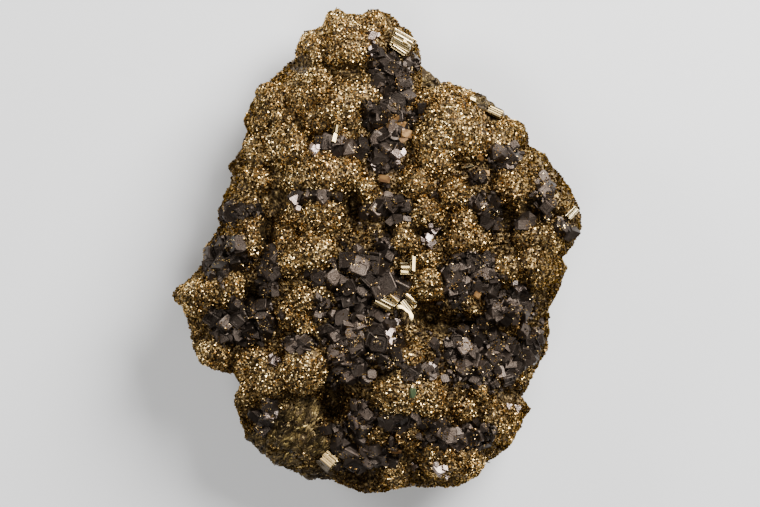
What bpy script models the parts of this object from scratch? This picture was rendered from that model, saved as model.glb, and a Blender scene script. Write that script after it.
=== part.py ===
# Galena with pyrite, a mineral specimen that lies on its flat back with the crystal side up.
# The body is a slab of massive sulphide whose upper side rises in rounded lumps and is covered
# with a druse of tiny pyrite crystals. Galena fills the hollows between the lumps with blocky
# crystals, a cube cut off at its corners, and a few large striated pyrite crystals stand on top.
# Right on the specimen is +X, its upper end is +Y, and the back rests on Z = 0.

import math

import bmesh
import bpy
import numpy as np
from mathutils import Matrix, Vector

MM = 0.001  # every length below is in millimetres

# Driving dimensions of the body
MIDDLE = (0.4, -2.4)  # the outline is read as distances from this point
CENTRING = (0.2, 0.1)  # moves the outline's box onto the origin
RIM_HEIGHT = 19.0  # where the lumpy front turns down into the broken edge
DOME_HEIGHT = 34.5  # the middle of the front, without its lumps
DOME_SHARPNESS = 2.3  # how far out the front stays level
DOME_FALL = 0.75  # how steeply it drops at the rim
LUMP_PROUD = 0.72  # a lump stands this share of its radius above the slab
LUMP_ROUNDNESS = 0.62  # a half would make it the top of a ball
BROKEN_PROUD = 0.35
UNDERCUT = 0.09  # the back is about this share smaller than the outline
WALL_RECESS = 2.6  # how far the broken edge lies back between its bulges
WALL_BULGES = 46
WALL_BULGE_LEAST = 4.5
WALL_BULGE_MOST = 9.0
GRID = 35  # points along each side of the front's grid
WALL_RINGS = 3
OUTLINE_SMOOTHING = math.radians(16)

# Driving dimensions of the crystals
GAP = 0.3  # left between a crystal and what it grows on
CRYSTAL_LIFT = 0.16  # a crystal's centre stands this share of its width above the surface
CUT_EVERY = 3  # one crystal in three has its corners cut until the cuts meet, the others are cubes
CUBE_WIDTH = 0.88  # a cube is this much narrower, since its corners reach further
LINK_SHARE = 0.74  # width of a cube that grows between two crystals, as a share of their distance
TOUCHING = 0.46  # two crystals this share of their added widths apart are grown together
GOLDEN_ANGLE = 137.508  # turns each crystal away from the one before it
TILT_LEAST = 12.0
TILT_MOST = 40.0

# The specimen's edge, anticlockwise from its upper end
OUTLINE = [
    (-2.5, 60.6), (-4.9, 58.8), (-7.6, 58.9), (-9.8, 60.5), (-12.2, 59.9), (-14.2, 56.2),
    (-18.8, 55.0), (-20.1, 51.5), (-21.0, 48.2), (-24.0, 45.5), (-27.5, 42.5), (-30.5, 40.5),
    (-32.6, 34.8), (-34.0, 32.3), (-32.6, 30.3), (-34.2, 25.0), (-37.6, 21.0), (-36.5, 19.0),
    (-37.2, 16.2), (-40.2, 10.2), (-39.7, 5.8), (-41.9, 2.8), (-43.8, 0.5), (-43.4, -2.8),
    (-46.6, -6.8), (-51.6, -10.5), (-50.6, -12.9), (-48.7, -14.4), (-47.3, -18.5), (-46.0, -25.0),
    (-44.6, -27.9), (-41.3, -29.6), (-35.3, -30.5), (-34.2, -33.3), (-36.0, -37.0), (-35.6, -40.2),
    (-33.5, -44.5), (-33.4, -46.9), (-30.2, -49.5), (-26.0, -53.5), (-21.5, -54.7), (-17.5, -57.5),
    (-12.5, -57.2), (-9.0, -58.6), (-3.0, -60.8), (4.0, -59.6), (8.5, -58.8), (14.5, -59.2),
    (19.8, -59.0), (25.0, -56.3), (26.6, -53.2), (30.0, -51.3), (33.0, -48.8), (36.7, -41.5),
    (38.2, -40.0), (35.9, -37.0), (37.9, -32.5), (42.3, -24.6), (42.5, -19.0), (42.3, -14.8),
    (44.8, -9.8), (46.9, -4.5), (45.8, -1.8), (47.5, 0.4), (51.2, 5.8), (50.1, 10.8),
    (47.5, 16.0), (43.8, 20.5), (41.8, 23.6), (38.0, 26.0), (36.0, 32.0), (33.0, 32.7),
    (29.5, 35.3), (26.8, 38.3), (20.0, 41.0), (17.0, 41.9), (13.0, 40.1), (10.6, 41.3),
    (10.8, 46.0), (8.6, 50.2), (9.3, 53.0), (8.2, 55.0), (5.8, 56.1), (2.6, 59.4),
]

# Broad rises and hollows of the slab: place, reach, and height above or below the dome
SWELLS = [
    (-8, 52, 10, 3.5), (-14, 37, 11, 3.5), (21, 31, 12, 4.0), (-14, 17, 9, 3.0), (34, 15, 8, 2.5),
    (6, -37, 9, 4.0), (-33, 5, 8, 2.0), (-42, -11, 8, 2.0), (-22, -30, 9, 2.0), (31, -43, 7, 2.5),
    (18, -52, 8, 2.5), (40, -4, 7, 3.0), (12, 14, 8, 2.0), (-17, -4, 8, 1.5), (4, 41, 6, -4.0),
    (1, 28, 6, -4.0), (-34, -17, 8, -3.5), (27, -24, 10, -3.5), (6, -17, 7, -2.5),
    (-12, -39, 6, -3.5), (22, -8, 9, -2.0), (-5, -53, 5, -3.0), (29, 8, 5, -2.0), (-27, 27, 8, -1.5),
]

# Rounded lumps of the druse: place and radius
LUMPS = [
    (-10.5, 57.8, 3.4), (-2.5, 56.5, 4.5), (-8, 53, 8), (-17.0, 51.0, 5), (-2.5, 39.5, 4.5),
    (-17.5, 40, 7), (-11, 36.5, 7), (-8.5, 32.5, 4.5), (-14.5, 33, 5), (-27, 38, 5),
    (-30.5, 33, 3.5), (-24, 33.5, 3.5), (-23.5, 26.5, 6), (-30.0, 25, 4.5), (-13.5, 20.5, 7.5),
    (-20, 17.5, 4), (-8, 19, 4.5), (-3, 15, 3.5), (-8.5, 28, 3), (-31, 17.5, 4.5),
    (-34, 12.5, 4.5), (-33, 4, 6), (-14.5, 8.5, 6), (-20.5, 9, 4), (-16, 0, 5.5), (-24, 3, 4),
    (-38.5, -9.5, 5.5), (-45.5, -12, 5), (-22, -3, 4), (-19, -13, 4.5), (-14, -10.5, 3),
    (-18, -18, 3.6), (-22, -16, 4), (-41, -26, 4.5), (-31, -28.5, 5), (-19, -29.5, 6.5),
    (-27.5, -33, 4.5), (-32, -35, 3), (17, 35, 8), (22, 30, 8), (14, 28.5, 6), (30, 29, 6),
    (34, 29.5, 3), (14, 23, 5), (9, 17, 4.5), (19, 14, 4.5), (21, 7, 3.8), (34, 16, 6),
    (38, 21.5, 4), (45.0, 13, 4), (12.2, 9, 4.5), (6.8, 3.2, 4.3), (20, 2.4, 4.2), (24.5, 2.5, 4),
    (12, -2, 3), (12.5, -8.5, 4.5), (39.5, -4, 6), (37, 3, 4), (42, 2.5, 4.5), (32, -5, 4.5),
    (1.5, -5, 2.2), (23.5, -13.6, 3.2), (33, -17.5, 4.2), (8.5, -26, 3.5), (4.5, -36, 6.5),
    (11.5, -36, 5.5), (21.5, -40, 3.2), (31, -43, 5.5), (-0.5, -46.6, 3.4), (7.5, -46, 3.6),
    (15.5, -52, 5.2), (22.5, -53, 4.8), (4, -56.5, 3.5), (25.5, -35, 3.2), (36.5, -32, 3),
]

# Broken ground with no druse, at the lower left: place and radius of low blocks
BROKEN_LUMPS = [
    (-24.5, -46, 4.2), (-18.5, -48.5, 4.0), (-19, -43, 3.6), (-23, -41, 3.2), (-14, -48.6, 3.2),
]

# Deep hollows: place, half sizes along X and Y, and depth
PITS = [
    (-11.5, -38, 2.4, 3.8, 9), (12.6, -16.4, 2.8, 2.8, 8), (20.8, -18.4, 4.8, 1.8, 6),
    (32.6, 7.4, 2.2, 1.8, 5), (-6.5, 11.2, 1.8, 3.4, 6), (11.8, 4.6, 3.8, 1.4, 4),
    (37.6, 10.6, 2.2, 2.6, 4), (-27.6, 4.0, 2.0, 3.6, 6), (-4.5, -56, 3.2, 2.2, 4),
    (-30.6, -10.6, 2.4, 2.2, 4), (1.6, -30.4, 2.6, 1.6, 4), (3.0, 4.6, 1.5, 1.5, 3),
    (35.6, -10.6, 3.0, 1.2, 2), (-19, 46.5, 2.4, 2.2, 3), (32.6, -36.4, 2.6, 2.2, 4),
    (-6.8, 44.8, 2.6, 1.8, 3), (-25.0, 12.0, 2.2, 3.2, 3), (16.0, -19.6, 2.2, 2.0, 3),
]

# Galena crystals by cluster: place and width. Each is joined to the nearest one listed before it.
GALENA = {
    "galena_summit": [(1.0, 47.0, 3.4), (-1.6, 49.6, 3.0), (4.4, 44.6, 3.6), (5.4, 41.4, 3.2)],
    "galena_channel": [
        (2.2, 36.2, 3.8), (7.2, 37.4, 3.6), (4.8, 33.0, 3.4), (-0.8, 32.4, 3.2),
        (3.4, 28.8, 3.8), (-0.8, 27.6, 3.8), (-0.6, 24.2, 3.0), (3.8, 24.6, 3.4),
    ],
    "galena_band": [(-8.2, 24.6, 4.0), (-12.0, 26.8, 3.6)],
    "galena_slope": [(-36.8, 8.8, 3.2), (-33.6, 10.0, 3.0), (-30.4, 9.6, 3.2)],
    "galena_shelf": [(-13.6, 13.4, 3.4), (-11.2, 13.4, 3.2), (-17.0, 13.0, 3.0), (-20.2, 12.6, 3.2)],
    "galena_ledge": [
        (-38.2, -3.2, 3.8), (-41.3, -3.9, 3.4), (-41.2, -0.8, 3.8), (-38.2, 0.6, 3.6),
        (-34.8, -3.6, 4.2),
    ],
    "galena_nook": [(-25.8, -2.6, 3.8), (-25.0, -5.8, 3.2)],
    "galena_hollow": [
        (-34.6, -17.4, 3.8), (-38.0, -18.5, 4.2), (-31.4, -15.4, 3.8), (-34.8, -14.0, 3.4),
        (-28.2, -13.9, 3.8), (-41.2, -16.6, 3.4), (-38.2, -22.0, 3.6), (-34.8, -21.2, 3.4),
        (-31.4, -20.4, 3.8), (-28.2, -18.0, 3.6),
    ],
    "galena_heart": [
        (-2.4, -6.6, 4.6), (-4.6, -10.0, 3.6), (-7.4, -2.6, 4.4), (-9.4, -7.8, 3.8),
        (-7.4, -12.9, 3.6), (5.0, -8.8, 4.8), (2.0, -1.4, 3.4), (-14.4, -6.4, 3.8),
    ],
    "galena_saddle": [(3.2, 11.6, 4.2), (-0.8, 9.8, 3.8), (7.2, 11.0, 3.4)],
    "galena_belt": [
        (-0.6, -20.4, 4.2), (-0.6, -16.4, 3.8), (-4.8, -23.2, 4.2), (-5.2, -19.2, 3.6),
        (-9.4, -22.6, 4.0), (-12.2, -19.4, 3.6), (1.2, -26.2, 3.8), (-6.0, -27.6, 3.6),
        (-9.8, -27.2, 3.4), (-7.6, -31.0, 3.6),
    ],
    "galena_curl": [(-18.2, -23.6, 3.6), (-21.0, -23.2, 3.4)],
    "galena_thicket": [
        (23.0, -3.4, 3.4), (26.4, -1.8, 3.4), (19.4, -5.0, 3.2), (21.4, -8.0, 3.4),
        (18.2, -10.4, 3.0), (24.8, -8.2, 3.4), (28.0, -9.6, 3.4),
    ],
    "galena_steps": [
        (32.6, -12.8, 3.2), (34.8, -9.9, 3.2), (36.2, -13.8, 3.2), (29.4, -14.8, 3.8),
        (26.4, -17.4, 3.4),
    ],
    "galena_field": [
        (25.6, -29.0, 4.6), (22.4, -25.4, 3.6), (19.2, -22.6, 3.4), (20.6, -29.0, 3.6),
        (28.2, -24.6, 3.4), (30.4, -27.6, 3.6), (33.4, -24.4, 3.2), (34.2, -28.8, 3.6),
        (31.4, -31.6, 3.8), (37.6, -26.4, 3.4), (38.2, -22.4, 3.2),
    ],
    "galena_spur": [(11.0, -30.2, 3.4), (7.7, -31.2, 3.4)],
    "galena_terrace": [(19.2, -47.2, 4.4), (15.2, -45.2, 4.2), (23.6, -46.0, 3.6), (26.6, -44.2, 3.0)],
    "galena_lip": [(3.4, -42.6, 3.6), (7.0, -41.8, 3.2), (10.6, -42.4, 3.0)],
    "galena_foot": [(-5.8, -51.6, 4.6), (-2.2, -51.8, 3.6), (1.2, -51.2, 3.4), (-8.6, -47.8, 3.4)],
    "galena_blush": [(-5.2, -42.2, 3.6), (-2.4, -40.6, 3.0), (-5.2, -38.4, 3.0)],
    "galena_corner": [(-27.6, -41.2, 3.6), (-28.4, -44.4, 3.4), (-26.4, -38.2, 3.2)],
    "galena_shoulder": [(29.4, 24.4, 4.0), (33.2, 23.4, 3.2), (30.0, 21.4, 3.0)],
    "galena_shade": [(27.2, 9.8, 4.0), (24.2, 11.6, 3.6)],
    "galena_rim": [(40.6, 14.4, 4.2), (42.2, 11.0, 3.2)],
}

# Striated pyrite: place, then length, width and height of the block, its turn, and its lean
STRIATED = {
    "pyrite_crown": (5.6, 51.6, 7.0, 5.2, 5.6, -30, 14),
    "pyrite_flag": (28.6, 33.8, 5.0, 2.8, 4.4, -25, 10),
    "pyrite_bar": (7.0, -4.4, 4.4, 3.0, 3.6, 0, 8),
    "pyrite_fan": (1.4, -12.2, 6.6, 3.2, 4.2, -28, 16),
    "pyrite_chevron": (7.2, -13.2, 4.4, 2.4, 3.6, -52, 20),
    "pyrite_rod": (48.0, 9.2, 4.6, 1.8, 2.6, 45, 6),
    "pyrite_plate": (-12.3, -51.8, 4.8, 4.2, 3.4, -35, 12),
    "pyrite_slat": (-10.5, 30.4, 3.2, 1.3, 3.2, 80, 8),
}
STRIATED_LIFT = 0.2  # the block's middle stands this share of its height above the surface
STRIATED_TAPER = 0.8  # its top is this share of its foot

OUTLINE_XY = np.array(OUTLINE) - MIDDLE
OUTLINE_ANGLE = np.arctan2(OUTLINE_XY[:, 1], OUTLINE_XY[:, 0])
OUTLINE_RADIUS = np.hypot(OUTLINE_XY[:, 0], OUTLINE_XY[:, 1])
MEAN_RADIUS = float(OUTLINE_RADIUS.mean())


def outline_radius(angle):
    """Distance from the middle to the edge in a direction, read between the outline's points."""
    return np.interp(angle, OUTLINE_ANGLE, OUTLINE_RADIUS, period=2 * math.pi)


def even_radius(angle):
    """The outline with its small notches averaged away over a sweep to each side."""
    sweep = np.linspace(-OUTLINE_SMOOTHING, OUTLINE_SMOOTHING, 13)
    return np.mean([outline_radius(angle + step) for step in sweep], axis=0)


def disc_grid(count):
    """A square grid bent into a disc: each point's share of the way to the edge, and its direction.
    Squares around the centre become rings, so the share is the larger of the two coordinates."""
    line = np.linspace(-1.0, 1.0, count)
    across, along = np.meshgrid(line, line)
    share = np.maximum(np.abs(across), np.abs(along))
    sideways = np.abs(across) > np.abs(along)
    safe_across = np.where(across == 0, 1.0, across)
    safe_along = np.where(along == 0, 1.0, along)
    eighth = math.pi / 4
    angle = np.where(
        sideways,
        eighth * along / safe_across + math.pi * (across < 0),
        2 * eighth - eighth * across / safe_along + math.pi * (along < 0),
    )
    return share, angle


def plan_point(share, angle):
    """A point of the slab seen from above: notches of the edge fade out towards the middle."""
    even = even_radius(angle)
    reach = share * (even + (outline_radius(angle) - even) * share**3)
    return MIDDLE[0] + reach * np.cos(angle), MIDDLE[1] + reach * np.sin(angle)


def slab_height(x, y):
    """The front without lumps: a flattened dome that drops to the rim, with broad swells on it."""
    angle = np.arctan2(y - MIDDLE[1], x - MIDDLE[0])
    share = np.hypot(x - MIDDLE[0], y - MIDDLE[1]) / outline_radius(angle)
    dome = (1 - np.minimum(share, 1.0) ** DOME_SHARPNESS) ** DOME_FALL
    rim = RIM_HEIGHT + 2.6 * np.sin(2 * angle + 0.6) + 1.6 * np.sin(5 * angle + 2.1)
    height = rim + (DOME_HEIGHT - rim) * dome
    for swell_x, swell_y, reach, rise in SWELLS:
        distance = np.hypot(x - swell_x, y - swell_y) / reach
        height = height + rise * np.exp(-(distance**2)) * np.sqrt(dome)
    return height


def front_height(x, y):
    """The front with its lumps, each a rounded cap on the slab, and its pits, each a rounded funnel."""
    caps = [(*lump, LUMP_PROUD) for lump in LUMPS]
    caps += [(*lump, BROKEN_PROUD) for lump in BROKEN_LUMPS]
    rise = np.zeros_like(x, dtype=float)
    for cap_x, cap_y, radius, proud in caps:
        inside = 1 - ((x - cap_x) ** 2 + (y - cap_y) ** 2) / radius**2
        rise = np.maximum(rise, proud * radius * np.maximum(inside, 0) ** LUMP_ROUNDNESS)
    height = slab_height(x, y) + rise
    for pit_x, pit_y, half_x, half_y, depth in PITS:
        distance = np.hypot((x - pit_x) / half_x, (y - pit_y) / half_y)
        height = height - depth * np.exp(-(distance**2.4))
    return height


def front_normal(x, y):
    """The direction that the front faces at a point, from its height a little way to each side."""
    step = 0.8
    slope_x = (front_height(x + step, y) - front_height(x - step, y)) / (2 * step)
    slope_y = (front_height(x, y + step) - front_height(x, y - step)) / (2 * step)
    return Vector((-float(slope_x), -float(slope_y), 1.0)).normalized()


def wall_bulge(angle, down):
    """How far the broken edge swells out: rounded caps set round it by the golden angle."""
    swell = np.zeros_like(angle)
    for number in range(WALL_BULGES):
        part = (number * 0.618) % 1.0
        radius = WALL_BULGE_LEAST + (WALL_BULGE_MOST - WALL_BULGE_LEAST) * ((number * 0.382) % 1.0)
        turn = angle - math.radians(GOLDEN_ANGLE * number)
        along = MEAN_RADIUS * np.arctan2(np.sin(turn), np.cos(turn))
        inside = 1 - (along**2 + (RIM_HEIGHT * (down - part)) ** 2) / radius**2
        swell = np.maximum(swell, np.sqrt(np.maximum(inside, 0)))
    return swell


def wall_point(angle, rim_height, down):
    """A point of the broken edge: it lies back between its bulges and draws in to the flat back."""
    ragged = outline_radius(angle) * (1 - down) + even_radius(angle) * down
    draw_in = UNDERCUT * (1 + 0.45 * np.sin(3 * angle + 1.0)) * down**2
    recess = WALL_RECESS * np.sin(math.pi * down) ** 0.6 * (1 - wall_bulge(angle, down))
    reach = ragged * (1 - draw_in) - recess
    x = MIDDLE[0] + reach * np.cos(angle)
    y = MIDDLE[1] + reach * np.sin(angle)
    return x, y, rim_height * (1 - down)


def body_mesh():
    """The closed body: front grid, then rings of the broken edge down to the flat back."""
    share, angle = disc_grid(GRID)
    x, y = plan_point(share, angle)
    z = front_height(x, y)
    points = np.stack([x, y, z], axis=-1).reshape(-1, 3)
    index = np.arange(GRID * GRID).reshape(GRID, GRID)
    faces = []
    for row in range(GRID - 1):
        for column in range(GRID - 1):
            a, b = int(index[row, column]), int(index[row, column + 1])
            c, d = int(index[row + 1, column + 1]), int(index[row + 1, column])
            falling = abs(points[a, 2] - points[c, 2]) > abs(points[b, 2] - points[d, 2])
            faces += [(a, b, d), (b, c, d)] if falling else [(a, b, c), (a, c, d)]
    edge = np.concatenate([index[0, :-1], index[:-1, -1], index[-1, :0:-1], index[:0:-1, 0]])
    upper = edge.tolist()
    rim_angle = angle.reshape(-1)[edge]
    rim_height = points[edge, 2]
    stacked = [points]
    for ring in range(1, WALL_RINGS + 1):
        ring_x, ring_y, ring_z = wall_point(rim_angle, rim_height, ring / WALL_RINGS)
        lower = list(range(sum(map(len, stacked)), sum(map(len, stacked)) + len(edge)))
        stacked.append(np.stack([ring_x, ring_y, ring_z], axis=-1))
        for here in range(len(edge)):
            after = (here + 1) % len(edge)
            faces += [(upper[after], upper[here], lower[here]), (upper[after], lower[here], lower[after])]
        upper = lower
    faces.append(tuple(reversed(upper)))
    return np.concatenate(stacked), faces


def placed(points):
    """Points in metres, moved so that the outline's box is centred on the origin."""
    return (np.asarray(points) + (*CENTRING, 0.0)) * MM


def add_object(name, points, faces, material):
    mesh = bpy.data.meshes.new(name)
    mesh.from_pydata(placed(points).tolist(), [], faces)
    mesh.materials.append(material)
    mesh.validate()
    obj = bpy.data.objects.new(name, mesh)
    bpy.context.scene.collection.objects.link(obj)
    return obj


def hide_helper(obj):
    obj.hide_render = True
    obj.display_type = "WIRE"


def clearance_body(body):
    """A helper a gap larger than the body all over, which every crystal is cut with."""
    helper = bpy.data.objects.new("clearance_body", body.data.copy())
    bpy.context.scene.collection.objects.link(helper)
    work = bmesh.new()
    work.from_mesh(helper.data)
    work.normal_update()
    moves = [vertex.normal * GAP * MM for vertex in work.verts]
    for vertex, move in zip(work.verts, moves):
        vertex.co += move
    work.to_mesh(helper.data)
    work.free()
    hide_helper(helper)
    return helper


def hull_object(name, points, material):
    """A convex crystal from its corner points."""
    work = bmesh.new()
    for point in placed(points):
        work.verts.new(point)
    bmesh.ops.convex_hull(work, input=work.verts)
    bmesh.ops.recalc_face_normals(work, faces=work.faces)
    mesh = bpy.data.meshes.new(name)
    work.to_mesh(mesh)
    work.free()
    mesh.materials.append(material)
    obj = bpy.data.objects.new(name, mesh)
    bpy.context.scene.collection.objects.link(obj)
    return obj


def upright_to(normal):
    return Vector((0, 0, 1)).rotation_difference(normal).to_matrix()


def cube_corners(width, cut):
    """Corners of a cube cut off at its corners: all orders of one, one, and one less the cut."""
    short = 1 - cut
    corners = set()
    for axis in range(3):
        for first in (-1, 1):
            for second in (-1, 1):
                for third in (-short, short):
                    corner = [first, second]
                    corner.insert(axis, third)
                    corners.add(tuple(corner))
    return [Vector(corner) * width / 2 for corner in sorted(corners)]


def crystal_points(x, y, z, normal, width, cut, number):
    """A crystal turned by the golden angle for its number and tilted away from the surface."""
    part = (number * 0.618) % 1.0
    spin = Matrix.Rotation(math.radians(GOLDEN_ANGLE * number), 3, "Z")
    tilt = Matrix.Rotation(math.radians(TILT_LEAST + (TILT_MOST - TILT_LEAST) * part), 3, "X")
    turn = upright_to(normal) @ spin @ tilt
    middle = Vector((x, y, z)) + normal * width * CRYSTAL_LIFT
    return [tuple(middle + turn @ corner) for corner in cube_corners(width, cut)]


def linked_crystals(chart):
    """The chart's crystals with their heights, and a cube between each and its nearest one if they are apart."""
    crystals = []
    links = []
    for x, y, width in chart:
        z = float(front_height(np.array(x), np.array(y)))
        if crystals:
            near = min(crystals, key=lambda other: math.dist(other[:3], (x, y, z)))
            distance = math.dist(near[:3], (x, y, z))
            if distance > TOUCHING * (width + near[3]):
                middle = [(a + b) / 2 for a, b in zip(near[:3], (x, y, z))]
                links.append((*middle, LINK_SHARE * distance, 0))
        is_cut = len(crystals) % CUT_EVERY == 0
        crystals.append((x, y, z, width * (1 if is_cut else CUBE_WIDTH), 1 if is_cut else 0))
    return crystals + links


def add_boolean(obj, name, operation, collection):
    modifier = obj.modifiers.new(name, "BOOLEAN")
    modifier.operation = operation
    modifier.solver = "EXACT"
    modifier.operand_type = "COLLECTION"
    modifier.collection = collection


def add_collection(name):
    collection = bpy.data.collections.new(name)
    bpy.context.scene.collection.children.link(collection)
    return collection


def move_to(obj, collection):
    bpy.context.scene.collection.objects.unlink(obj)
    collection.objects.link(obj)


def add_cluster(name, chart, material, clearances):
    """One body of galena: its crystals united, then cut clear of everything that they grow on."""
    grown = add_collection(name + "_crystals")
    cluster = None
    for number, (x, y, z, width, cut) in enumerate(linked_crystals(chart)):
        normal = front_normal(np.array(x), np.array(y))
        points = crystal_points(x, y, z, normal, width, cut, number)
        crystal = hull_object(name if cluster is None else f"{name}_{number}", points, material)
        if cluster is None:
            cluster = crystal
        else:
            hide_helper(crystal)
            move_to(crystal, grown)
    add_boolean(cluster, "grown_together", "UNION", grown)
    add_boolean(cluster, "clear_of_neighbours", "DIFFERENCE", clearances)
    return cluster


def block_points(row, grow):
    """Corners of a striated crystal: a block that tapers upwards, turned and leaning, grown all round."""
    x, y, length, width, height, turn, lean = row
    normal = front_normal(np.array(x), np.array(y))
    z = float(front_height(np.array(x), np.array(y)))
    upright = normal.lerp(Vector((0, 0, 1)), 0.6).normalized()
    frame = upright_to(upright) @ Matrix.Rotation(math.radians(turn), 3, "Z")
    frame = frame @ Matrix.Rotation(math.radians(lean), 3, "X")
    middle = Vector((x, y, z)) + upright * height * STRIATED_LIFT
    points = []
    for up, scale in ((-1, 1.0), (1, STRIATED_TAPER)):
        for right in (-1, 1):
            for far in (-1, 1):
                corner = Vector((
                    right * (length / 2 * scale + grow),
                    far * (width / 2 * scale + grow),
                    up * (height / 2 + grow),
                ))
                points.append(tuple(middle + frame @ corner))
    return points


def add_material(name, colour, metallic, roughness):
    material = bpy.data.materials.new(name)
    material.use_nodes = True
    shader = material.node_tree.nodes["Principled BSDF"]
    shader.inputs["Base Color"].default_value = (*colour, 1.0)
    shader.inputs["Metallic"].default_value = metallic
    shader.inputs["Roughness"].default_value = roughness
    material.diffuse_color = (*colour, 1.0)
    return material


def build():
    for obj in list(bpy.data.objects):
        bpy.data.objects.remove(obj)
    pyrite = add_material("pyrite", (0.60, 0.42, 0.19), 0.9, 0.32)
    brassy = add_material("striated_pyrite", (0.78, 0.65, 0.40), 1.0, 0.22)
    galena = add_material("galena", (0.20, 0.18, 0.19), 0.9, 0.35)

    points, faces = body_mesh()
    body = add_object("pyrite_matrix", points, faces, pyrite)
    around_body = add_collection("clear_of_body")
    move_to(clearance_body(body), around_body)

    around_all = add_collection("clear_of_all")
    around_all.objects.link(bpy.data.objects["clearance_body"])
    for name, row in STRIATED.items():
        block = hull_object(name, block_points(row, 0.0), brassy)
        add_boolean(block, "clear_of_body", "DIFFERENCE", around_body)
        around = hull_object("clearance_" + name, block_points(row, GAP), brassy)
        hide_helper(around)
        move_to(around, around_all)

    for name, chart in GALENA.items():
        add_cluster(name, chart, galena, around_all)


build()
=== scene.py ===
# %% [markdown]
# Galena with pyrite: the looks
#
# The specimen is a slab of massive sulphide that lies on its flat back. Its front rises in
# rounded lumps, and everything up there is crystals: a druse of brass-coloured pyrite grains
# half a millimetre across, lead-grey galena blocks in the hollows, and a few large pyrite
# crystals with ruled faces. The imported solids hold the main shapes. This lesson dresses them:
# each surface is worked out as whole arrays of numbers, and only then made a mesh.

# %% Load the fixed frame
import math

import bpy
import numpy as np
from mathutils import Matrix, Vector


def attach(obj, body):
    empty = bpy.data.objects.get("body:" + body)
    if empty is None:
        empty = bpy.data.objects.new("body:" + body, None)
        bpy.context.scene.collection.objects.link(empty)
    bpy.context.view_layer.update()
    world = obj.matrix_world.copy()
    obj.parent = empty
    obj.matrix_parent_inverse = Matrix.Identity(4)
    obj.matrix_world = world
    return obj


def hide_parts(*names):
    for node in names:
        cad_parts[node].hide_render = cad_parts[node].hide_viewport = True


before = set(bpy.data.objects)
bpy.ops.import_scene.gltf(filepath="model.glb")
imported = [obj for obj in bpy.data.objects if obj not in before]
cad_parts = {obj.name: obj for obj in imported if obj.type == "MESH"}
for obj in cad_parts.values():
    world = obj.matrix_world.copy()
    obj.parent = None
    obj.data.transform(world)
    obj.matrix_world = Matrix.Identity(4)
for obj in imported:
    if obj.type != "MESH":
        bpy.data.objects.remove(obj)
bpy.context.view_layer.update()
MM = 0.001  # metres

# %% [markdown]
# The edge and the lumps of the slab
#
# Seen from the crystal side the slab is an irregular pear. Its edge is a ring of points, in
# millimetres, and its front is a dome that falls away at the edge, with broad swells, rounded
# lumps and pits on it. The solids were made from the same values, so the fine skin below lies
# on them everywhere.

# %% The slab's values
MIDDLE = np.array([0.4, -2.4])  # the outline is read as distances from this point
CENTRING = np.array([0.2, 0.1, 0.0])  # moves the outline's box onto the origin
RIM_HEIGHT = 19.0
RIM_WAVES = [(2.6, 2, 0.6), (1.6, 5, 2.1)]  # rise, waves in a turn, and where the first begins
DOME_HEIGHT = 34.5
DOME_SHARPNESS = 2.3
DOME_FALL = 0.75
LUMP_PROUD = 0.72
LUMP_ROUNDNESS = 0.62
BROKEN_PROUD = 0.35
PIT_SHARPNESS = 2.4
UNDERCUT = 0.09  # the flat back is about this share smaller than the outline
WALL_RECESS = 2.6
WALL_BULGES = 46
WALL_BULGE_LEAST = 4.5
WALL_BULGE_MOST = 9.0
OUTLINE_SMOOTHING = math.radians(16)
GOLDEN_ANGLE = math.radians(137.508)
print("from the rim to the dome's top:", DOME_HEIGHT - RIM_HEIGHT, "mm")

# %% The outline, as points from the top round by the left
OUTLINE = [
    (-2.5, 60.6), (-4.9, 58.8), (-7.6, 58.9), (-9.8, 60.5), (-12.2, 59.9), (-14.2, 56.2),
    (-18.8, 55.0), (-20.1, 51.5), (-21.0, 48.2), (-24.0, 45.5), (-27.5, 42.5), (-30.5, 40.5),
    (-32.6, 34.8), (-34.0, 32.3), (-32.6, 30.3), (-34.2, 25.0), (-37.6, 21.0), (-36.5, 19.0),
    (-37.2, 16.2), (-40.2, 10.2), (-39.7, 5.8), (-41.9, 2.8), (-43.8, 0.5), (-43.4, -2.8),
    (-46.6, -6.8), (-51.6, -10.5), (-50.6, -12.9), (-48.7, -14.4), (-47.3, -18.5), (-46.0, -25.0),
    (-44.6, -27.9), (-41.3, -29.6), (-35.3, -30.5), (-34.2, -33.3), (-36.0, -37.0), (-35.6, -40.2),
    (-33.5, -44.5), (-33.4, -46.9), (-30.2, -49.5), (-26.0, -53.5), (-21.5, -54.7), (-17.5, -57.5),
    (-12.5, -57.2), (-9.0, -58.6), (-3.0, -60.8), (4.0, -59.6), (8.5, -58.8), (14.5, -59.2),
    (19.8, -59.0), (25.0, -56.3), (26.6, -53.2), (30.0, -51.3), (33.0, -48.8), (36.7, -41.5),
    (38.2, -40.0), (35.9, -37.0), (37.9, -32.5), (42.3, -24.6), (42.5, -19.0), (42.3, -14.8),
    (44.8, -9.8), (46.9, -4.5), (45.8, -1.8), (47.5, 0.4), (51.2, 5.8), (50.1, 10.8),
    (47.5, 16.0), (43.8, 20.5), (41.8, 23.6), (38.0, 26.0), (36.0, 32.0), (33.0, 32.7),
    (29.5, 35.3), (26.8, 38.3), (20.0, 41.0), (17.0, 41.9), (13.0, 40.1), (10.6, 41.3),
    (10.8, 46.0), (8.6, 50.2), (9.3, 53.0), (8.2, 55.0), (5.8, 56.1), (2.6, 59.4),
]
print("points in the outline:", len(OUTLINE))

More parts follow.
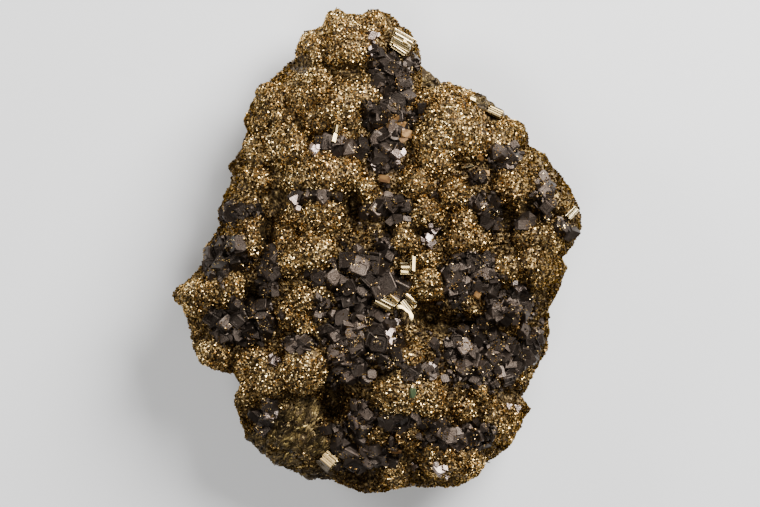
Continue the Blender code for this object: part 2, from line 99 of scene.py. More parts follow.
# %% Swells, lumps and pits
# a swell is a place, a reach and a rise, and a lump a place and a radius
SWELLS = [
    (-8, 52, 10, 3.5), (-14, 37, 11, 3.5), (21, 31, 12, 4.0), (-14, 17, 9, 3.0), (34, 15, 8, 2.5),
    (6, -37, 9, 4.0), (-33, 5, 8, 2.0), (-42, -11, 8, 2.0), (-22, -30, 9, 2.0), (31, -43, 7, 2.5),
    (18, -52, 8, 2.5), (40, -4, 7, 3.0), (12, 14, 8, 2.0), (-17, -4, 8, 1.5), (4, 41, 6, -4.0),
    (1, 28, 6, -4.0), (-34, -17, 8, -3.5), (27, -24, 10, -3.5), (6, -17, 7, -2.5),
    (-12, -39, 6, -3.5), (22, -8, 9, -2.0), (-5, -53, 5, -3.0), (29, 8, 5, -2.0), (-27, 27, 8, -1.5),
]

LUMPS = [
    (-10.5, 57.8, 3.4), (-2.5, 56.5, 4.5), (-8, 53, 8), (-17.0, 51.0, 5), (-2.5, 39.5, 4.5),
    (-17.5, 40, 7), (-11, 36.5, 7), (-8.5, 32.5, 4.5), (-14.5, 33, 5), (-27, 38, 5),
    (-30.5, 33, 3.5), (-24, 33.5, 3.5), (-23.5, 26.5, 6), (-30.0, 25, 4.5), (-13.5, 20.5, 7.5),
    (-20, 17.5, 4), (-8, 19, 4.5), (-3, 15, 3.5), (-8.5, 28, 3), (-31, 17.5, 4.5),
    (-34, 12.5, 4.5), (-33, 4, 6), (-14.5, 8.5, 6), (-20.5, 9, 4), (-16, 0, 5.5), (-24, 3, 4),
    (-38.5, -9.5, 5.5), (-45.5, -12, 5), (-22, -3, 4), (-19, -13, 4.5), (-14, -10.5, 3),
    (-18, -18, 3.6), (-22, -16, 4), (-41, -26, 4.5), (-31, -28.5, 5), (-19, -29.5, 6.5),
    (-27.5, -33, 4.5), (-32, -35, 3), (17, 35, 8), (22, 30, 8), (14, 28.5, 6), (30, 29, 6),
    (34, 29.5, 3), (14, 23, 5), (9, 17, 4.5), (19, 14, 4.5), (21, 7, 3.8), (34, 16, 6),
    (38, 21.5, 4), (45.0, 13, 4), (12.2, 9, 4.5), (6.8, 3.2, 4.3), (20, 2.4, 4.2), (24.5, 2.5, 4),
    (12, -2, 3), (12.5, -8.5, 4.5), (39.5, -4, 6), (37, 3, 4), (42, 2.5, 4.5), (32, -5, 4.5),
    (1.5, -5, 2.2), (23.5, -13.6, 3.2), (33, -17.5, 4.2), (8.5, -26, 3.5), (4.5, -36, 6.5),
    (11.5, -36, 5.5), (21.5, -40, 3.2), (31, -43, 5.5), (-0.5, -46.6, 3.4), (7.5, -46, 3.6),
    (15.5, -52, 5.2), (22.5, -53, 4.8), (4, -56.5, 3.5), (25.5, -35, 3.2), (36.5, -32, 3),
]

BROKEN_LUMPS = [
    (-24.5, -46, 4.2), (-18.5, -48.5, 4.0), (-19, -43, 3.6), (-23, -41, 3.2), (-14, -48.6, 3.2),
]

# a pit is a place, two half widths and a depth
PITS = [
    (-11.5, -38, 2.4, 3.8, 9), (12.6, -16.4, 2.8, 2.8, 8), (20.8, -18.4, 4.8, 1.8, 6),
    (32.6, 7.4, 2.2, 1.8, 5), (-6.5, 11.2, 1.8, 3.4, 6), (11.8, 4.6, 3.8, 1.4, 4),
    (37.6, 10.6, 2.2, 2.6, 4), (-27.6, 4.0, 2.0, 3.6, 6), (-4.5, -56, 3.2, 2.2, 4),
    (-30.6, -10.6, 2.4, 2.2, 4), (1.6, -30.4, 2.6, 1.6, 4), (3.0, 4.6, 1.5, 1.5, 3),
    (35.6, -10.6, 3.0, 1.2, 2), (-19, 46.5, 2.4, 2.2, 3), (32.6, -36.4, 2.6, 2.2, 4),
    (-6.8, 44.8, 2.6, 1.8, 3), (-25.0, 12.0, 2.2, 3.2, 3), (16.0, -19.6, 2.2, 2.0, 3),
]
print("swells, lumps and pits:", len(SWELLS), len(LUMPS) + len(BROKEN_LUMPS), len(PITS))

# %% The slab's surface as functions
outline_xy = np.array(OUTLINE) - MIDDLE
OUTLINE_ANGLE = np.arctan2(outline_xy[:, 1], outline_xy[:, 0])
OUTLINE_RADIUS = np.hypot(outline_xy[:, 0], outline_xy[:, 1])
MEAN_RADIUS = float(OUTLINE_RADIUS.mean())


def outline_radius(angle):
    """Distance from the middle to the edge in a direction, read between the outline's points."""
    return np.interp(angle, OUTLINE_ANGLE, OUTLINE_RADIUS, period=2 * math.pi)


def even_radius(angle):
    """The outline with its small notches averaged away over a sweep to each side."""
    sweep = np.linspace(-OUTLINE_SMOOTHING, OUTLINE_SMOOTHING, 13)
    return np.mean([outline_radius(angle + step) for step in sweep], axis=0)


def slab_height(x, y):
    """The front without lumps: a flattened dome that drops to the rim, with broad swells on it."""
    angle = np.arctan2(y - MIDDLE[1], x - MIDDLE[0])
    share = np.hypot(x - MIDDLE[0], y - MIDDLE[1]) / outline_radius(angle)
    dome = (1 - np.minimum(share, 1.0) ** DOME_SHARPNESS) ** DOME_FALL
    rim = RIM_HEIGHT
    for rise, waves, start in RIM_WAVES:
        rim = rim + rise * np.sin(waves * angle + start)
    height = rim + (DOME_HEIGHT - rim) * dome
    for swell_x, swell_y, reach, rise in SWELLS:
        distance = np.hypot(x - swell_x, y - swell_y) / reach
        height = height + rise * np.exp(-(distance**2)) * np.sqrt(dome)
    return height


def lump_rise(x, y):
    """How far the lumps stand up from the slab: each is a rounded cap, and the highest one counts."""
    caps = [(*lump, LUMP_PROUD) for lump in LUMPS]
    caps += [(*lump, BROKEN_PROUD) for lump in BROKEN_LUMPS]
    rise = np.zeros_like(x, dtype=float)
    for cap_x, cap_y, radius, proud in caps:
        inside = 1 - ((x - cap_x) ** 2 + (y - cap_y) ** 2) / radius**2
        rise = np.maximum(rise, proud * radius * np.maximum(inside, 0) ** LUMP_ROUNDNESS)
    return rise


def pit_share(x, y, pit_x, pit_y, half_x, half_y):
    """How much of a pit's depth is reached at a point: all of it in the middle, little past its rim."""
    distance = np.hypot((x - pit_x) / half_x, (y - pit_y) / half_y)
    return np.exp(-(distance**PIT_SHARPNESS))


def front_height(x, y):
    """The front with its lumps, and its pits, each a rounded funnel."""
    height = slab_height(x, y) + lump_rise(x, y)
    for *pit, depth in PITS:
        height = height - depth * pit_share(x, y, *pit)
    return height


def front_normal(x, y):
    """The direction that the front faces, from its height a little way to each side."""
    step = 0.8
    slope_x = (front_height(x + step, y) - front_height(x - step, y)) / (2 * step)
    slope_y = (front_height(x, y + step) - front_height(x, y - step)) / (2 * step)
    return unit(np.stack([-slope_x, -slope_y, np.ones_like(slope_x)], axis=-1))


def unit(vectors):
    return vectors / np.maximum(np.linalg.norm(vectors, axis=-1, keepdims=True), 1e-12)


def wall_bulge(angle, down):
    """How far the broken edge swells out: rounded caps set round it by the golden angle."""
    swell = np.zeros_like(angle)
    for number in range(WALL_BULGES):
        part = (number * 0.618) % 1.0
        radius = WALL_BULGE_LEAST + (WALL_BULGE_MOST - WALL_BULGE_LEAST) * ((number * 0.382) % 1.0)
        turn = angle - GOLDEN_ANGLE * number
        along = MEAN_RADIUS * np.arctan2(np.sin(turn), np.cos(turn))
        inside = 1 - (along**2 + (RIM_HEIGHT * (down - part)) ** 2) / radius**2
        swell = np.maximum(swell, np.sqrt(np.maximum(inside, 0)))
    return swell


def wall_point(angle, rim_height, down):
    """A point of the broken edge: it lies back between its bulges and draws in to the flat back."""
    ragged = outline_radius(angle) * (1 - down) + even_radius(angle) * down
    draw_in = UNDERCUT * (1 + 0.45 * np.sin(3 * angle + 1.0)) * down**2
    recess = WALL_RECESS * np.sin(math.pi * down) ** 0.6 * (1 - wall_bulge(angle, down))
    reach = ragged * (1 - draw_in) - recess
    x = MIDDLE[0] + reach * np.cos(angle)
    y = MIDDLE[1] + reach * np.sin(angle)
    return np.stack([x, y, rim_height * (1 - down)], axis=-1)


print("height at the middle:", round(float(front_height(np.array(0.0), np.array(0.0))), 1), "mm")

# %% [markdown]
# From arrays to a mesh
#
# Every piece below ends as two arrays, its points and its triangles. They could be handed over
# as lists, one point at a time, which is slow for a million triangles. Instead one helper fills
# the mesh with whole arrays, gives it a material, and says that it rides on the specimen. A tone
# between nought and one can go with each point, for the material to read, so that every grain
# of the druse has its own shade.

# %% The mesh helper
made = []


def add_piece(name, points, triangles, material, slot, tone=None, faceted=True):
    """Points in millimetres and triangles as rows of indices, made a mesh that rides on the root."""
    mesh = bpy.data.meshes.new(name)
    mesh.vertices.add(len(points))
    mesh.vertices.foreach_set("co", ((points + CENTRING) * MM).astype(np.float32).ravel())
    mesh.loops.add(3 * len(triangles))
    mesh.loops.foreach_set("vertex_index", triangles.astype(np.int32).ravel())
    mesh.polygons.add(len(triangles))
    mesh.polygons.foreach_set("loop_start", np.arange(0, 3 * len(triangles), 3, dtype=np.int32))
    mesh.update(calc_edges=True)
    if faceted:
        mesh.shade_flat()
    if tone is not None:
        mesh.attributes.new("tone", "FLOAT", "POINT").data.foreach_set("value", tone.astype(np.float32))
    mesh.materials.append(material)
    piece = bpy.data.objects.new(name, mesh)
    bpy.context.scene.collection.objects.link(piece)
    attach(piece, "root")
    made.append((name, len(triangles)))
    print(name, len(triangles), "triangles")
    return piece


# %% [markdown]
# Finishes
#
# Pyrite, fresh galena and their mix are metals to the eye, so they are metallic shaders whose
# colour is the reflection's tint. The druse glitters because each grain is a flat mirror that
# faces its own way: the mesh does that, and the shader only varies the tint from pale gold to
# bronze and brown tarnish. Galena is lead-grey with a faint brown bloom, and paler and smoother
# on a fresh face. All patterns are noise on the object's own coordinates, so they stay put.

# %% Material helpers
def new_material(name, metallic, roughness):
    """A material with its tree and its shader, from which each finish starts."""
    material = bpy.data.materials.new(name)
    material.use_nodes = True
    shader = material.node_tree.nodes["Principled BSDF"]
    shader.inputs["Metallic"].default_value = metallic
    shader.inputs["Roughness"].default_value = roughness
    return material, material.node_tree, shader


def ramp(tree, factor, stops):
    """A colour ramp: stops are pairs of place and red, green, blue."""
    node = tree.nodes.new("ShaderNodeValToRGB")
    while len(node.color_ramp.elements) < len(stops):
        node.color_ramp.elements.new(0.5)
    for element, (place, colour) in zip(node.color_ramp.elements, stops):
        element.position = place
        element.color = (*colour, 1.0)
    tree.links.new(factor, node.inputs["Fac"])
    return node.outputs["Color"]


def noise(tree, per_metre, detail=3.0):
    """Cloudy noise on the object's own coordinates, so many clouds to a metre."""
    where = tree.nodes.new("ShaderNodeTexCoord")
    node = tree.nodes.new("ShaderNodeTexNoise")
    node.inputs["Scale"].default_value = per_metre
    node.inputs["Detail"].default_value = detail
    tree.links.new(where.outputs["Object"], node.inputs["Vector"])
    return node.outputs["Fac"]


def mix(tree, factor, first, second, blend="MIX"):
    """Two colours mixed, or multiplied; each input is a socket, a colour or a number."""
    node = tree.nodes.new("ShaderNodeMixRGB")
    node.blend_type = blend
    for number, value in enumerate((factor, first, second)):
        socket = node.inputs[number]
        if isinstance(value, bpy.types.NodeSocket):
            tree.links.new(value, socket)
        elif isinstance(value, tuple):
            socket.default_value = (*value, 1.0)
        else:
            socket.default_value = value
    return node.outputs["Color"]


def tone_of(tree):
    """The tone that the mesh carries at each point."""
    node = tree.nodes.new("ShaderNodeAttribute")
    node.attribute_name = "tone"
    return node.outputs["Fac"]


def spread(tree, value, low, high):
    """A value from nought to one spread between two others."""
    node = tree.nodes.new("ShaderNodeMapRange")
    node.inputs["To Min"].default_value = low
    node.inputs["To Max"].default_value = high
    tree.links.new(value, node.inputs["Value"])
    return node.outputs["Result"]


print("materials before the first finish:", len(bpy.data.materials))

# %% The finishes themselves
WHITE = (1.0, 1.0, 1.0)


def druse_finish():
    """Pyrite grains: pale gold to bronze by the grain, with patches of brown tarnish."""
    material, tree, shader = new_material("pyrite druse", 1.0, 0.28)
    shader.inputs["Specular Tint"].default_value = (1.0, 0.74, 0.42, 1.0)  # gold at grazing angles too
    grain = ramp(tree, tone_of(tree), [
        (0.0, (0.045, 0.027, 0.01)), (0.35, (0.21, 0.14, 0.055)), (0.6, (0.62, 0.44, 0.18)),
        (0.85, (1.0, 0.72, 0.33)), (1.0, (1.0, 0.79, 0.41)),
    ])
    patches = ramp(tree, noise(tree, 90.0), [(0.38, (0.54, 0.44, 0.32)), (0.6, WHITE)])
    mottles = ramp(tree, noise(tree, 280.0), [(0.38, (0.46, 0.38, 0.28)), (0.56, WHITE)])
    tarnished = mix(tree, 0.8, grain, patches, "MULTIPLY")
    tree.links.new(mix(tree, 0.9, tarnished, mottles, "MULTIPLY"), shader.inputs["Base Color"])
    tree.links.new(spread(tree, noise(tree, 900.0), 0.16, 0.42), shader.inputs["Roughness"])
    return material


def galena_finish(name, dark, light, roughness):
    """Galena: lead-grey by the crystal, clouded with a thin brown bloom."""
    material, tree, shader = new_material(name, 0.9, roughness)
    between = tuple(0.35 * a + 0.65 * b for a, b in zip(light, dark))
    crystal = ramp(tree, tone_of(tree), [(0.0, dark), (0.7, between), (1.0, light)])
    bloom = ramp(tree, noise(tree, 420.0, 5.0), [(0.4, (0.62, 0.55, 0.5)), (0.62, WHITE)])
    tree.links.new(mix(tree, 0.7, crystal, bloom, "MULTIPLY"), shader.inputs["Base Color"])
    uneven = spread(tree, noise(tree, 700.0), roughness - 0.1, roughness + 0.14)
    tree.links.new(uneven, shader.inputs["Roughness"])
    bump = tree.nodes.new("ShaderNodeBump")
    bump.inputs["Strength"].default_value = 0.6
    bump.inputs["Distance"].default_value = 0.0002  # metres
    tree.links.new(noise(tree, 2600.0, 4.0), bump.inputs["Height"])
    tree.links.new(bump.outputs["Normal"], shader.inputs["Normal"])
    return material


def ruled_finish():
    """Large pyrite crystals: pale brass, and dark brown where the tone paints shade into the furrows."""
    material, tree, shader = new_material("ruled pyrite", 1.0, 0.2)
    face = ramp(tree, tone_of(tree), [
        (0.0, (0.04, 0.025, 0.01)), (0.45, (0.42, 0.31, 0.14)), (1.0, (1.0, 0.86, 0.56)),
    ])
    tree.links.new(face, shader.inputs["Base Color"])
    return material


def flake_finish():
    """Amber and tan flakes of a clear mineral, as a waxy coating with a soft shine."""
    material, tree, shader = new_material("amber flake", 0.25, 0.3)
    face = ramp(tree, tone_of(tree), [
        (0.0, (0.08, 0.04, 0.012)), (0.6, (0.24, 0.125, 0.038)), (1.0, (0.36, 0.21, 0.075)),
    ])
    streaks = ramp(tree, noise(tree, 900.0, 4.0), [(0.4, (0.35, 0.28, 0.22)), (0.6, WHITE)])
    tree.links.new(mix(tree, 0.85, face, streaks, "MULTIPLY"), shader.inputs["Base Color"])
    return material


DRUSE = druse_finish()
GALENA_GREY = galena_finish("galena", (0.028, 0.021, 0.016), (0.17, 0.132, 0.105), 0.42)
GALENA_BRIGHT = galena_finish("galena, fresh face", (0.16, 0.122, 0.102), (0.42, 0.34, 0.30), 0.3)
RULED = ruled_finish()
FLAKE = flake_finish()
print("finishes:", len(bpy.data.materials))

# %% [markdown]
# The fine skin of the slab
#
# Under the druse the slab is rough at every scale: on each lump sit knobs of about three
# millimetres, and smaller ones on those. A displacement modifier could raise them, but worked
# out here they are measured and the same each time. Knobs of this kind are cells: the space is
# cut into cubes, each with one seed point somewhere in it, and the skin stands out most near a
# seed. The cells are three-dimensional, so they run over the rim and down the broken edge with
# no seam. On that edge each cell also has a level of its own, which makes it look chipped.

# %% Cells
def scatter(cells, salt):
    """A repeatable number from nought to one for each whole-numbered cell."""
    mixed = cells @ np.array([12.9898, 78.233, 37.719]) + salt
    return np.modf(np.abs(np.sin(mixed) * 43758.5453))[0]


def seeds_round(points, size, salt):
    """The 27 cells round each point in turn: each cell, and how far off its seed is, in cell sizes."""
    scaled = points / size
    home = np.floor(scaled)
    for step in np.ndindex(3, 3, 3):
        cell = home + np.array(step) - 1
        seed = cell + np.stack([scatter(cell, salt + axis * 17.3) for axis in range(3)], axis=-1)
        yield cell, np.linalg.norm(scaled - seed, axis=-1)


def nearest_seed(points, size, salt=0.0):
    """Distance to the nearest seed, in cell sizes."""
    nearest = np.full(len(points), np.inf)
    for _, distance in seeds_round(points, size, salt):
        nearest = np.minimum(nearest, distance)
    return nearest


def cell_level(points, size, salt=0.0):
    """A number from nought to one for each point: its nearest seed's own, so it steps between cells."""
    nearest = np.full(len(points), np.inf)
    level = np.zeros(len(points))
    for cell, distance in seeds_round(points, size, salt):
        level = np.where(distance < nearest, scatter(cell, salt + 3.7), level)
        nearest = np.minimum(nearest, distance)
    return level


def knobs(points, size, rise, salt=0.0):
    """Rounded knobs: one less the squared distance to the nearest seed, never below nought."""
    return rise * np.maximum(1 - (nearest_seed(points, size, salt) / 0.85) ** 2, 0)


print("the level at the frame's zero:", float(cell_level(np.zeros((1, 3)), 1.0)[0].round(2)))

# %% The skin's grid
SKIN_GRID = 221
WALL_ROWS = 28


def disc_grid(count):
    """A square grid bent into a disc: share of the way to the edge, and direction, for each point."""
    line = np.linspace(-1.0, 1.0, count)
    across, along = np.meshgrid(line, line)
    share = np.maximum(np.abs(across), np.abs(along))
    sideways = np.abs(across) > np.abs(along)
    eighth = math.pi / 4
    angle = np.where(
        sideways,
        eighth * along / np.where(across == 0, 1.0, across) + math.pi * (across < 0),
        2 * eighth - eighth * across / np.where(along == 0, 1.0, along) + math.pi * (along < 0),
    )
    return share, angle


def grid_triangles(index):
    """Two triangles for each square of an array of point numbers."""
    a, b, c, d = index[:-1, :-1], index[:-1, 1:], index[1:, 1:], index[1:, :-1]
    first = np.stack([a, b, c], axis=-1).reshape(-1, 3)
    second = np.stack([a, c, d], axis=-1).reshape(-1, 3)
    return np.concatenate([first, second])


def point_normals(points, triangles):
    """Each point's normal: the sum of its triangles' normals, larger ones counting for more."""
    corner = points[triangles]
    face = np.cross(corner[:, 1] - corner[:, 0], corner[:, 2] - corner[:, 0])
    total = np.zeros_like(points)
    for column in range(3):
        np.add.at(total, triangles[:, column], face)
    return unit(total)


print("points on the front:", SKIN_GRID**2)


# %% The skin
def skin():
    """The closed skin: the front's grid, rows of the broken edge below it, and the flat back."""
    share, angle = disc_grid(SKIN_GRID)
    even = even_radius(angle)
    reach = share * (even + (outline_radius(angle) - even) * share**3)
    x = MIDDLE[0] + reach * np.cos(angle)
    y = MIDDLE[1] + reach * np.sin(angle)
    front = np.stack([x, y, front_height(x, y)], axis=-1).reshape(-1, 3)
    index = np.arange(SKIN_GRID**2).reshape(SKIN_GRID, SKIN_GRID)
    edge = np.concatenate([index[0, :-1], index[:-1, -1], index[-1, :0:-1], index[:0:-1, 0]])
    rim_angle = angle.reshape(-1)[edge]
    down = np.arange(1, WALL_ROWS + 1)[:, None] / WALL_ROWS
    wall = wall_point(rim_angle[None, :], front[edge, 2][None, :], down).reshape(-1, 3)
    rows = np.vstack([edge, len(front) + np.arange(len(wall)).reshape(WALL_ROWS, -1)])
    rows = np.hstack([rows, rows[:, :1]])
    back = rows[-1]
    centre = len(front) + len(wall)
    fan = np.stack([np.full(len(back) - 1, centre), back[1:], back[:-1]], axis=-1)
    points = np.vstack([front, wall, [[MIDDLE[0], MIDDLE[1], 0.0]]])
    triangles = np.vstack([grid_triangles(index), grid_triangles(rows)[:, ::-1], fan])
    return points, triangles


skin_points, skin_triangles = skin()
print("skin:", len(skin_points), "points,", len(skin_triangles), "triangles")

# %% Its relief
KNOBS = [(3.2, 0.55, 0.0), (1.5, 0.4, 5.0), (0.8, 0.2, 9.0)]  # cell size, rise and salt
KNOB_MEAN = 0.75  # taken off again, so that the knobs don't swell the slab
CHIPS = [(0.6, 7.5, 41.0), (0.4, 3.6, 47.0)]  # share, cell size and salt
CHIP_DEPTH = 2.6
CHIP_FLATNESS = np.array([1.0, 1.0, 1.7])  # chips are lower than they are wide
CHIPPED_BELOW = RIM_HEIGHT - 1
BACK_MARGIN = 2.0  # millimetres over which the relief dies out to the flat back
normals = point_normals(skin_points, skin_triangles)
height = skin_points[:, 2]
below_rim = np.arange(len(skin_points)) >= SKIN_GRID**2
broken_edge = np.clip((CHIPPED_BELOW - height) / 6, 0, 1) * below_rim
chipped = sum(share * cell_level(skin_points * CHIP_FLATNESS, size, salt) for share, size, salt in CHIPS)
knobbly = sum(knobs(skin_points, *knob) for knob in KNOBS) - KNOB_MEAN
relief = knobbly - broken_edge * CHIP_DEPTH * chipped
shift = normals * relief[:, None]
shift[:, 2] *= np.clip(height / BACK_MARGIN, 0, 1)
skin_points = skin_points + shift
print("skin faces up:", bool(normals[SKIN_GRID**2 // 2, 2] > 0), len(skin_triangles), "triangles")

# %% [markdown]
# Where what grows
#
# Pyrite grains cover the lumps. Galena sits in the hollows between them, in patches with ragged
# edges, and in a few wide fields it also creeps along the valley floors. Some of the druse is
# browner than the rest, and at the lower left the slab is broken and bare. These places are
# ellipses read from the specimen, each with a place and two half sizes in millimetres, and the
# cells fray their edges.

# %% Patches
GALENA_PATCHES = [
    (3, 44, 5.6, 5), (3, 33, 7, 6.5), (1, 25, 5, 5), (-10.5, 25.8, 6.5, 2.2), (-34, 9.4, 5.5, 1.8),
    (-12, 13.4, 4.5, 1.6), (-39, -2.5, 5.2, 5.2), (-26, -4.4, 2.6, 4.0), (-34, -17.8, 9.5, 6.2),
    (-28, -9.5, 2.6, 2.4), (-4, -7.4, 8.5, 7.2), (-14.5, -6.6, 3.2, 2.6), (-14.5, -14, 2.6, 2.6),
    (2.2, -0.6, 2.6, 3.8), (2.6, 10.2, 6.4, 3.2), (-4, -20.4, 9, 6), (-7.5, -29, 5.6, 5),
    (2, -27, 4.4, 3.2), (-19.6, -23.2, 4, 2.2), (22.5, -6.2, 8, 6.4), (32, -13, 8, 4.2),
    (27, -27, 11.5, 6.8), (38, -22.6, 3.4, 5.6), (9.6, -30.4, 4.6, 2.0), (18, -46.2, 8.4, 3),
    (25.4, -45, 3.4, 2.6), (6.8, -42.2, 6.6, 1.5), (-2.6, -51.8, 7.6, 3.2), (-9, -47.4, 2.6, 3.4),
    (-4.2, -40.2, 3.2, 3.8), (-27, -41.4, 2.6, 5.2), (31, 22.8, 4.6, 3), (26, 10.8, 5, 3),
    (41, 13.2, 3.2, 4.2), (46, 5.6, 1.8, 1.8), (35.6, 6.2, 2, 1.8), (9, 46.6, 1.6, 2.2),
]
VALLEY_FIELDS = [
    (-3, -13, 10, 20), (26, -22, 16, 14), (-33, -16, 9, 8), (2, 31, 6, 17), (6, -46, 26, 6),
    (26, 12, 14, 9), (-38, 0, 7, 10),
]
BROWN_PATCHES = [(-37, 14, 9, 16), (-31, 36, 5, 7), (24, -20, 18, 14), (-5, -30, 9, 12), (42, 14, 6, 7)]
VALLEY_DEPTH = 0.75  # galena creeps about this far up the lumps, in millimetres
RIM_MARGIN = 0.955  # no galena past this share of the way to the edge
BROKEN_PATCHES = [
    (-21.5, -45, 6.5, 6.4), (-15.5, -48.5, 4.5, 3.0), (-18, -40, 4.0, 4.0), (-30, -48.5, 3.5, 4.0),
    (-24, -53, 5.0, 3.0), (-16, -56, 6.0, 2.0), (27, 37, 4.0, 2.4),
]
FRAY = 0.35
FRAY_CELL = 1.6  # millimetres


def within(points, patches):
    """How far inside the nearest patch each point lies: above nought inside, with a frayed edge."""
    depth = np.full(len(points), -np.inf)
    for x, y, half_x, half_y in patches:
        distance = np.hypot((points[:, 0] - x) / half_x, (points[:, 1] - y) / half_y)
        depth = np.maximum(depth, 1 - distance)
    return depth + FRAY * (0.5 - nearest_seed(points, FRAY_CELL, 31.0))


print("patches of galena:", len(GALENA_PATCHES), "of broken slab:", len(BROKEN_PATCHES))

# %% [markdown]
# The slab itself
#
# The skin is one piece, bare where it broke and on its edge and back, and elsewhere brown between
# the grains, darkened nearly to black as painted shade. Its tone is the share of bare slab at each
# point, and the finish mixes the two. It takes the place of the plain solid. Its shading is smooth,
# as its relief is in its points.

# %% The slab's finish and piece
def slab_finish():
    """Ground under the druse, brown to near black as painted shade between the grains, and tan, massive
    slab where the tone is one.
    """
    material, tree, shader = new_material("slab", 0.75, 0.5)
    shader.inputs["Specular IOR Level"].default_value = 0.15
    # Painted shade: the ground seen between the grains is mostly near black, with some brown.
    ground = ramp(tree, noise(tree, 1400.0, 2.0), [
        (0.35, (0.02, 0.013, 0.008)), (0.52, (0.07, 0.045, 0.02)), (0.68, (0.32, 0.22, 0.09)),
    ])
    bare = ramp(tree, noise(tree, 170.0, 6.0), [
        (0.3, (0.02, 0.013, 0.008)), (0.5, (0.075, 0.05, 0.025)), (0.72, (0.17, 0.12, 0.055)),
    ])
    specks = ramp(tree, noise(tree, 1500.0, 2.0), [(0.56, (0.0, 0.0, 0.0)), (0.66, WHITE)])
    speckled = mix(tree, specks, bare, (0.42, 0.30, 0.13))
    tree.links.new(mix(tree, tone_of(tree), ground, speckled), shader.inputs["Base Color"])
    return material


BARE_BELOW = RIM_HEIGHT - 3
broken_share = np.clip(3 * within(skin_points, BROKEN_PATCHES) + 0.3, 0, 1)
edge_share = below_rim * np.clip((BARE_BELOW - skin_points[:, 2]) / 4, 0, 1)
bare_share = np.maximum(broken_share, edge_share)
slab = add_piece(
    "slab_skin", skin_points, skin_triangles, slab_finish(), "druse", bare_share, faceted=False
)
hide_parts("pyrite_matrix")

# %% [markdown]
# Galena crystals
#
# Galena grows as cubes whose corners are cut off, some so far that the cuts meet. A face is
# seldom flat: growth starts at its edges, so it steps down to the middle in thin terraces, and
# a fast one leaves a deep hopper. The shape is a template of 24 corners and, on each of the six
# cube faces, four rings between the rim and the middle. A ring's points are the face's corners
# drawn towards a point near its centre. The outermost ring stands a little proud of the corners,
# which bevels the edges, and the others sink by steps. A bevel modifier on every crystal would
# do less and take longer: here all crystals of a cluster are worked out at once, as one array
# of crystals by points.

# %% The crystal template
CORNER_SIGNS = np.array([[i, j, k] for i in (-1, 1) for j in (-1, 1) for k in (-1, 1)], float)
BASE_SIGNS = np.repeat(CORNER_SIGNS, 3, axis=0)
CUT_AXES = np.tile(np.eye(3), (8, 1))
RING_SHRINK = (0.93, 0.80, 0.56, 0.5)
RING_DEPTH = (0.0, 1.0, 1.0, 2.0)  # in steps
EDGE_BEVEL = 0.04  # how far the first ring stands proud, as a share of half the width


def corner_points(cut):
    """The 24 corners for each cut: every cube corner moved back along one axis in turn."""
    return BASE_SIGNS[None] * (1 - np.asarray(cut)[:, None, None] * CUT_AXES[None])


def face_loops():
    """The eight corners round each cube face, and the three at each cube corner, all turned outwards."""
    sample = corner_points([0.5])[0]
    loops = []
    for axis in range(3):
        for side in (-1, 1):
            on_face = np.flatnonzero(np.abs(sample[:, axis] - side) < 1e-9)
            right, up = (axis + 1) % 3, (axis + 2) % 3
            turn = np.arctan2(sample[on_face, up], sample[on_face, right] * side)
            loops.append((axis, side, on_face[np.argsort(turn)]))
    corners = np.arange(24).reshape(8, 3)
    flipped = CORNER_SIGNS.prod(axis=1) < 0
    corners[flipped] = corners[flipped][:, ::-1]
    return loops, corners


FACE_LOOPS, CORNER_TRIANGLES = face_loops()


def fan_of(loop):
    """A flat ring of points as triangles from its first point."""
    loop = np.asarray(loop)
    return np.stack([np.full(len(loop) - 2, loop[0]), loop[1:-1], loop[2:]], axis=-1)


def band_of(outer, inner):
    """The strip between two rings of the same number of points."""
    after, inner_after = np.roll(outer, -1), np.roll(inner, -1)
    first = np.stack([outer, after, inner], axis=-1)
    second = np.stack([after, inner_after, inner], axis=-1)
    return np.vstack([first, second])


PLAIN_TRIANGLES = np.vstack([fan_of(loop) for _, _, loop in FACE_LOOPS] + [CORNER_TRIANGLES])


def terraced_triangles():
    """The corners' triangles and, on each face, bands from ring to ring and a fan in the last."""
    triangles = [CORNER_TRIANGLES]
    start = len(BASE_SIGNS)
    for _, _, loop in FACE_LOOPS:
        outer = loop
        for _ in RING_SHRINK:
            inner = start + np.arange(len(loop))
            triangles.append(band_of(outer, inner))
            outer = inner
            start += len(loop)
        triangles.append(fan_of(outer))
    return np.vstack(triangles)


TERRACED_TRIANGLES = terraced_triangles()
print("terraced crystal:", len(TERRACED_TRIANGLES), "triangles, plain:", len(PLAIN_TRIANGLES))


# %% Crystals in numbers
def terraced_points(cut, step, drift):
    """Template points of each crystal: the corners, then on each face four rings that sink by steps.
    Drift moves a face's inner rings off its centre, as a share of the room that they leave."""
    corners = corner_points(cut)
    parts = [corners]
    for number, (axis, side, loop) in enumerate(FACE_LOOPS):
        centre = np.zeros(3)
        centre[axis] = side
        shift = np.insert(drift[:, number], axis, 0.0, axis=1)[:, None, :]
        for shrink, depth in zip(RING_SHRINK, RING_DEPTH):
            ring = centre + shrink * (corners[:, loop] - centre) + shift * (1 - shrink)
            sunk = (depth * step[:, number])[:, None] - EDGE_BEVEL
            ring[:, :, axis] = side * (1 - sunk)
            parts.append(ring)
    return np.concatenate(parts, axis=1)


def skewed(template, amount, maker):
    """Each crystal's template pulled out of square its own way, by a matrix near to no change."""
    skew = np.eye(3) + maker.normal(0, amount, (len(template), 3, 3))
    return np.einsum("nij,nvj->nvi", skew, template)


def set_out(template, width, turn, middle):
    """Each crystal's template sized, turned by its matrix and moved to its middle."""
    return np.einsum("nij,nvj->nvi", turn, template * (width / 2)[:, None, None]) + middle[:, None, :]


def joined(points, triangles):
    """Many crystals as one pair of arrays: the template's triangles repeated with moved indices."""
    count, each = points.shape[:2]
    offset = (np.arange(count) * each)[:, None, None]
    return points.reshape(-1, 3), (triangles[None] + offset).reshape(-1, 3)


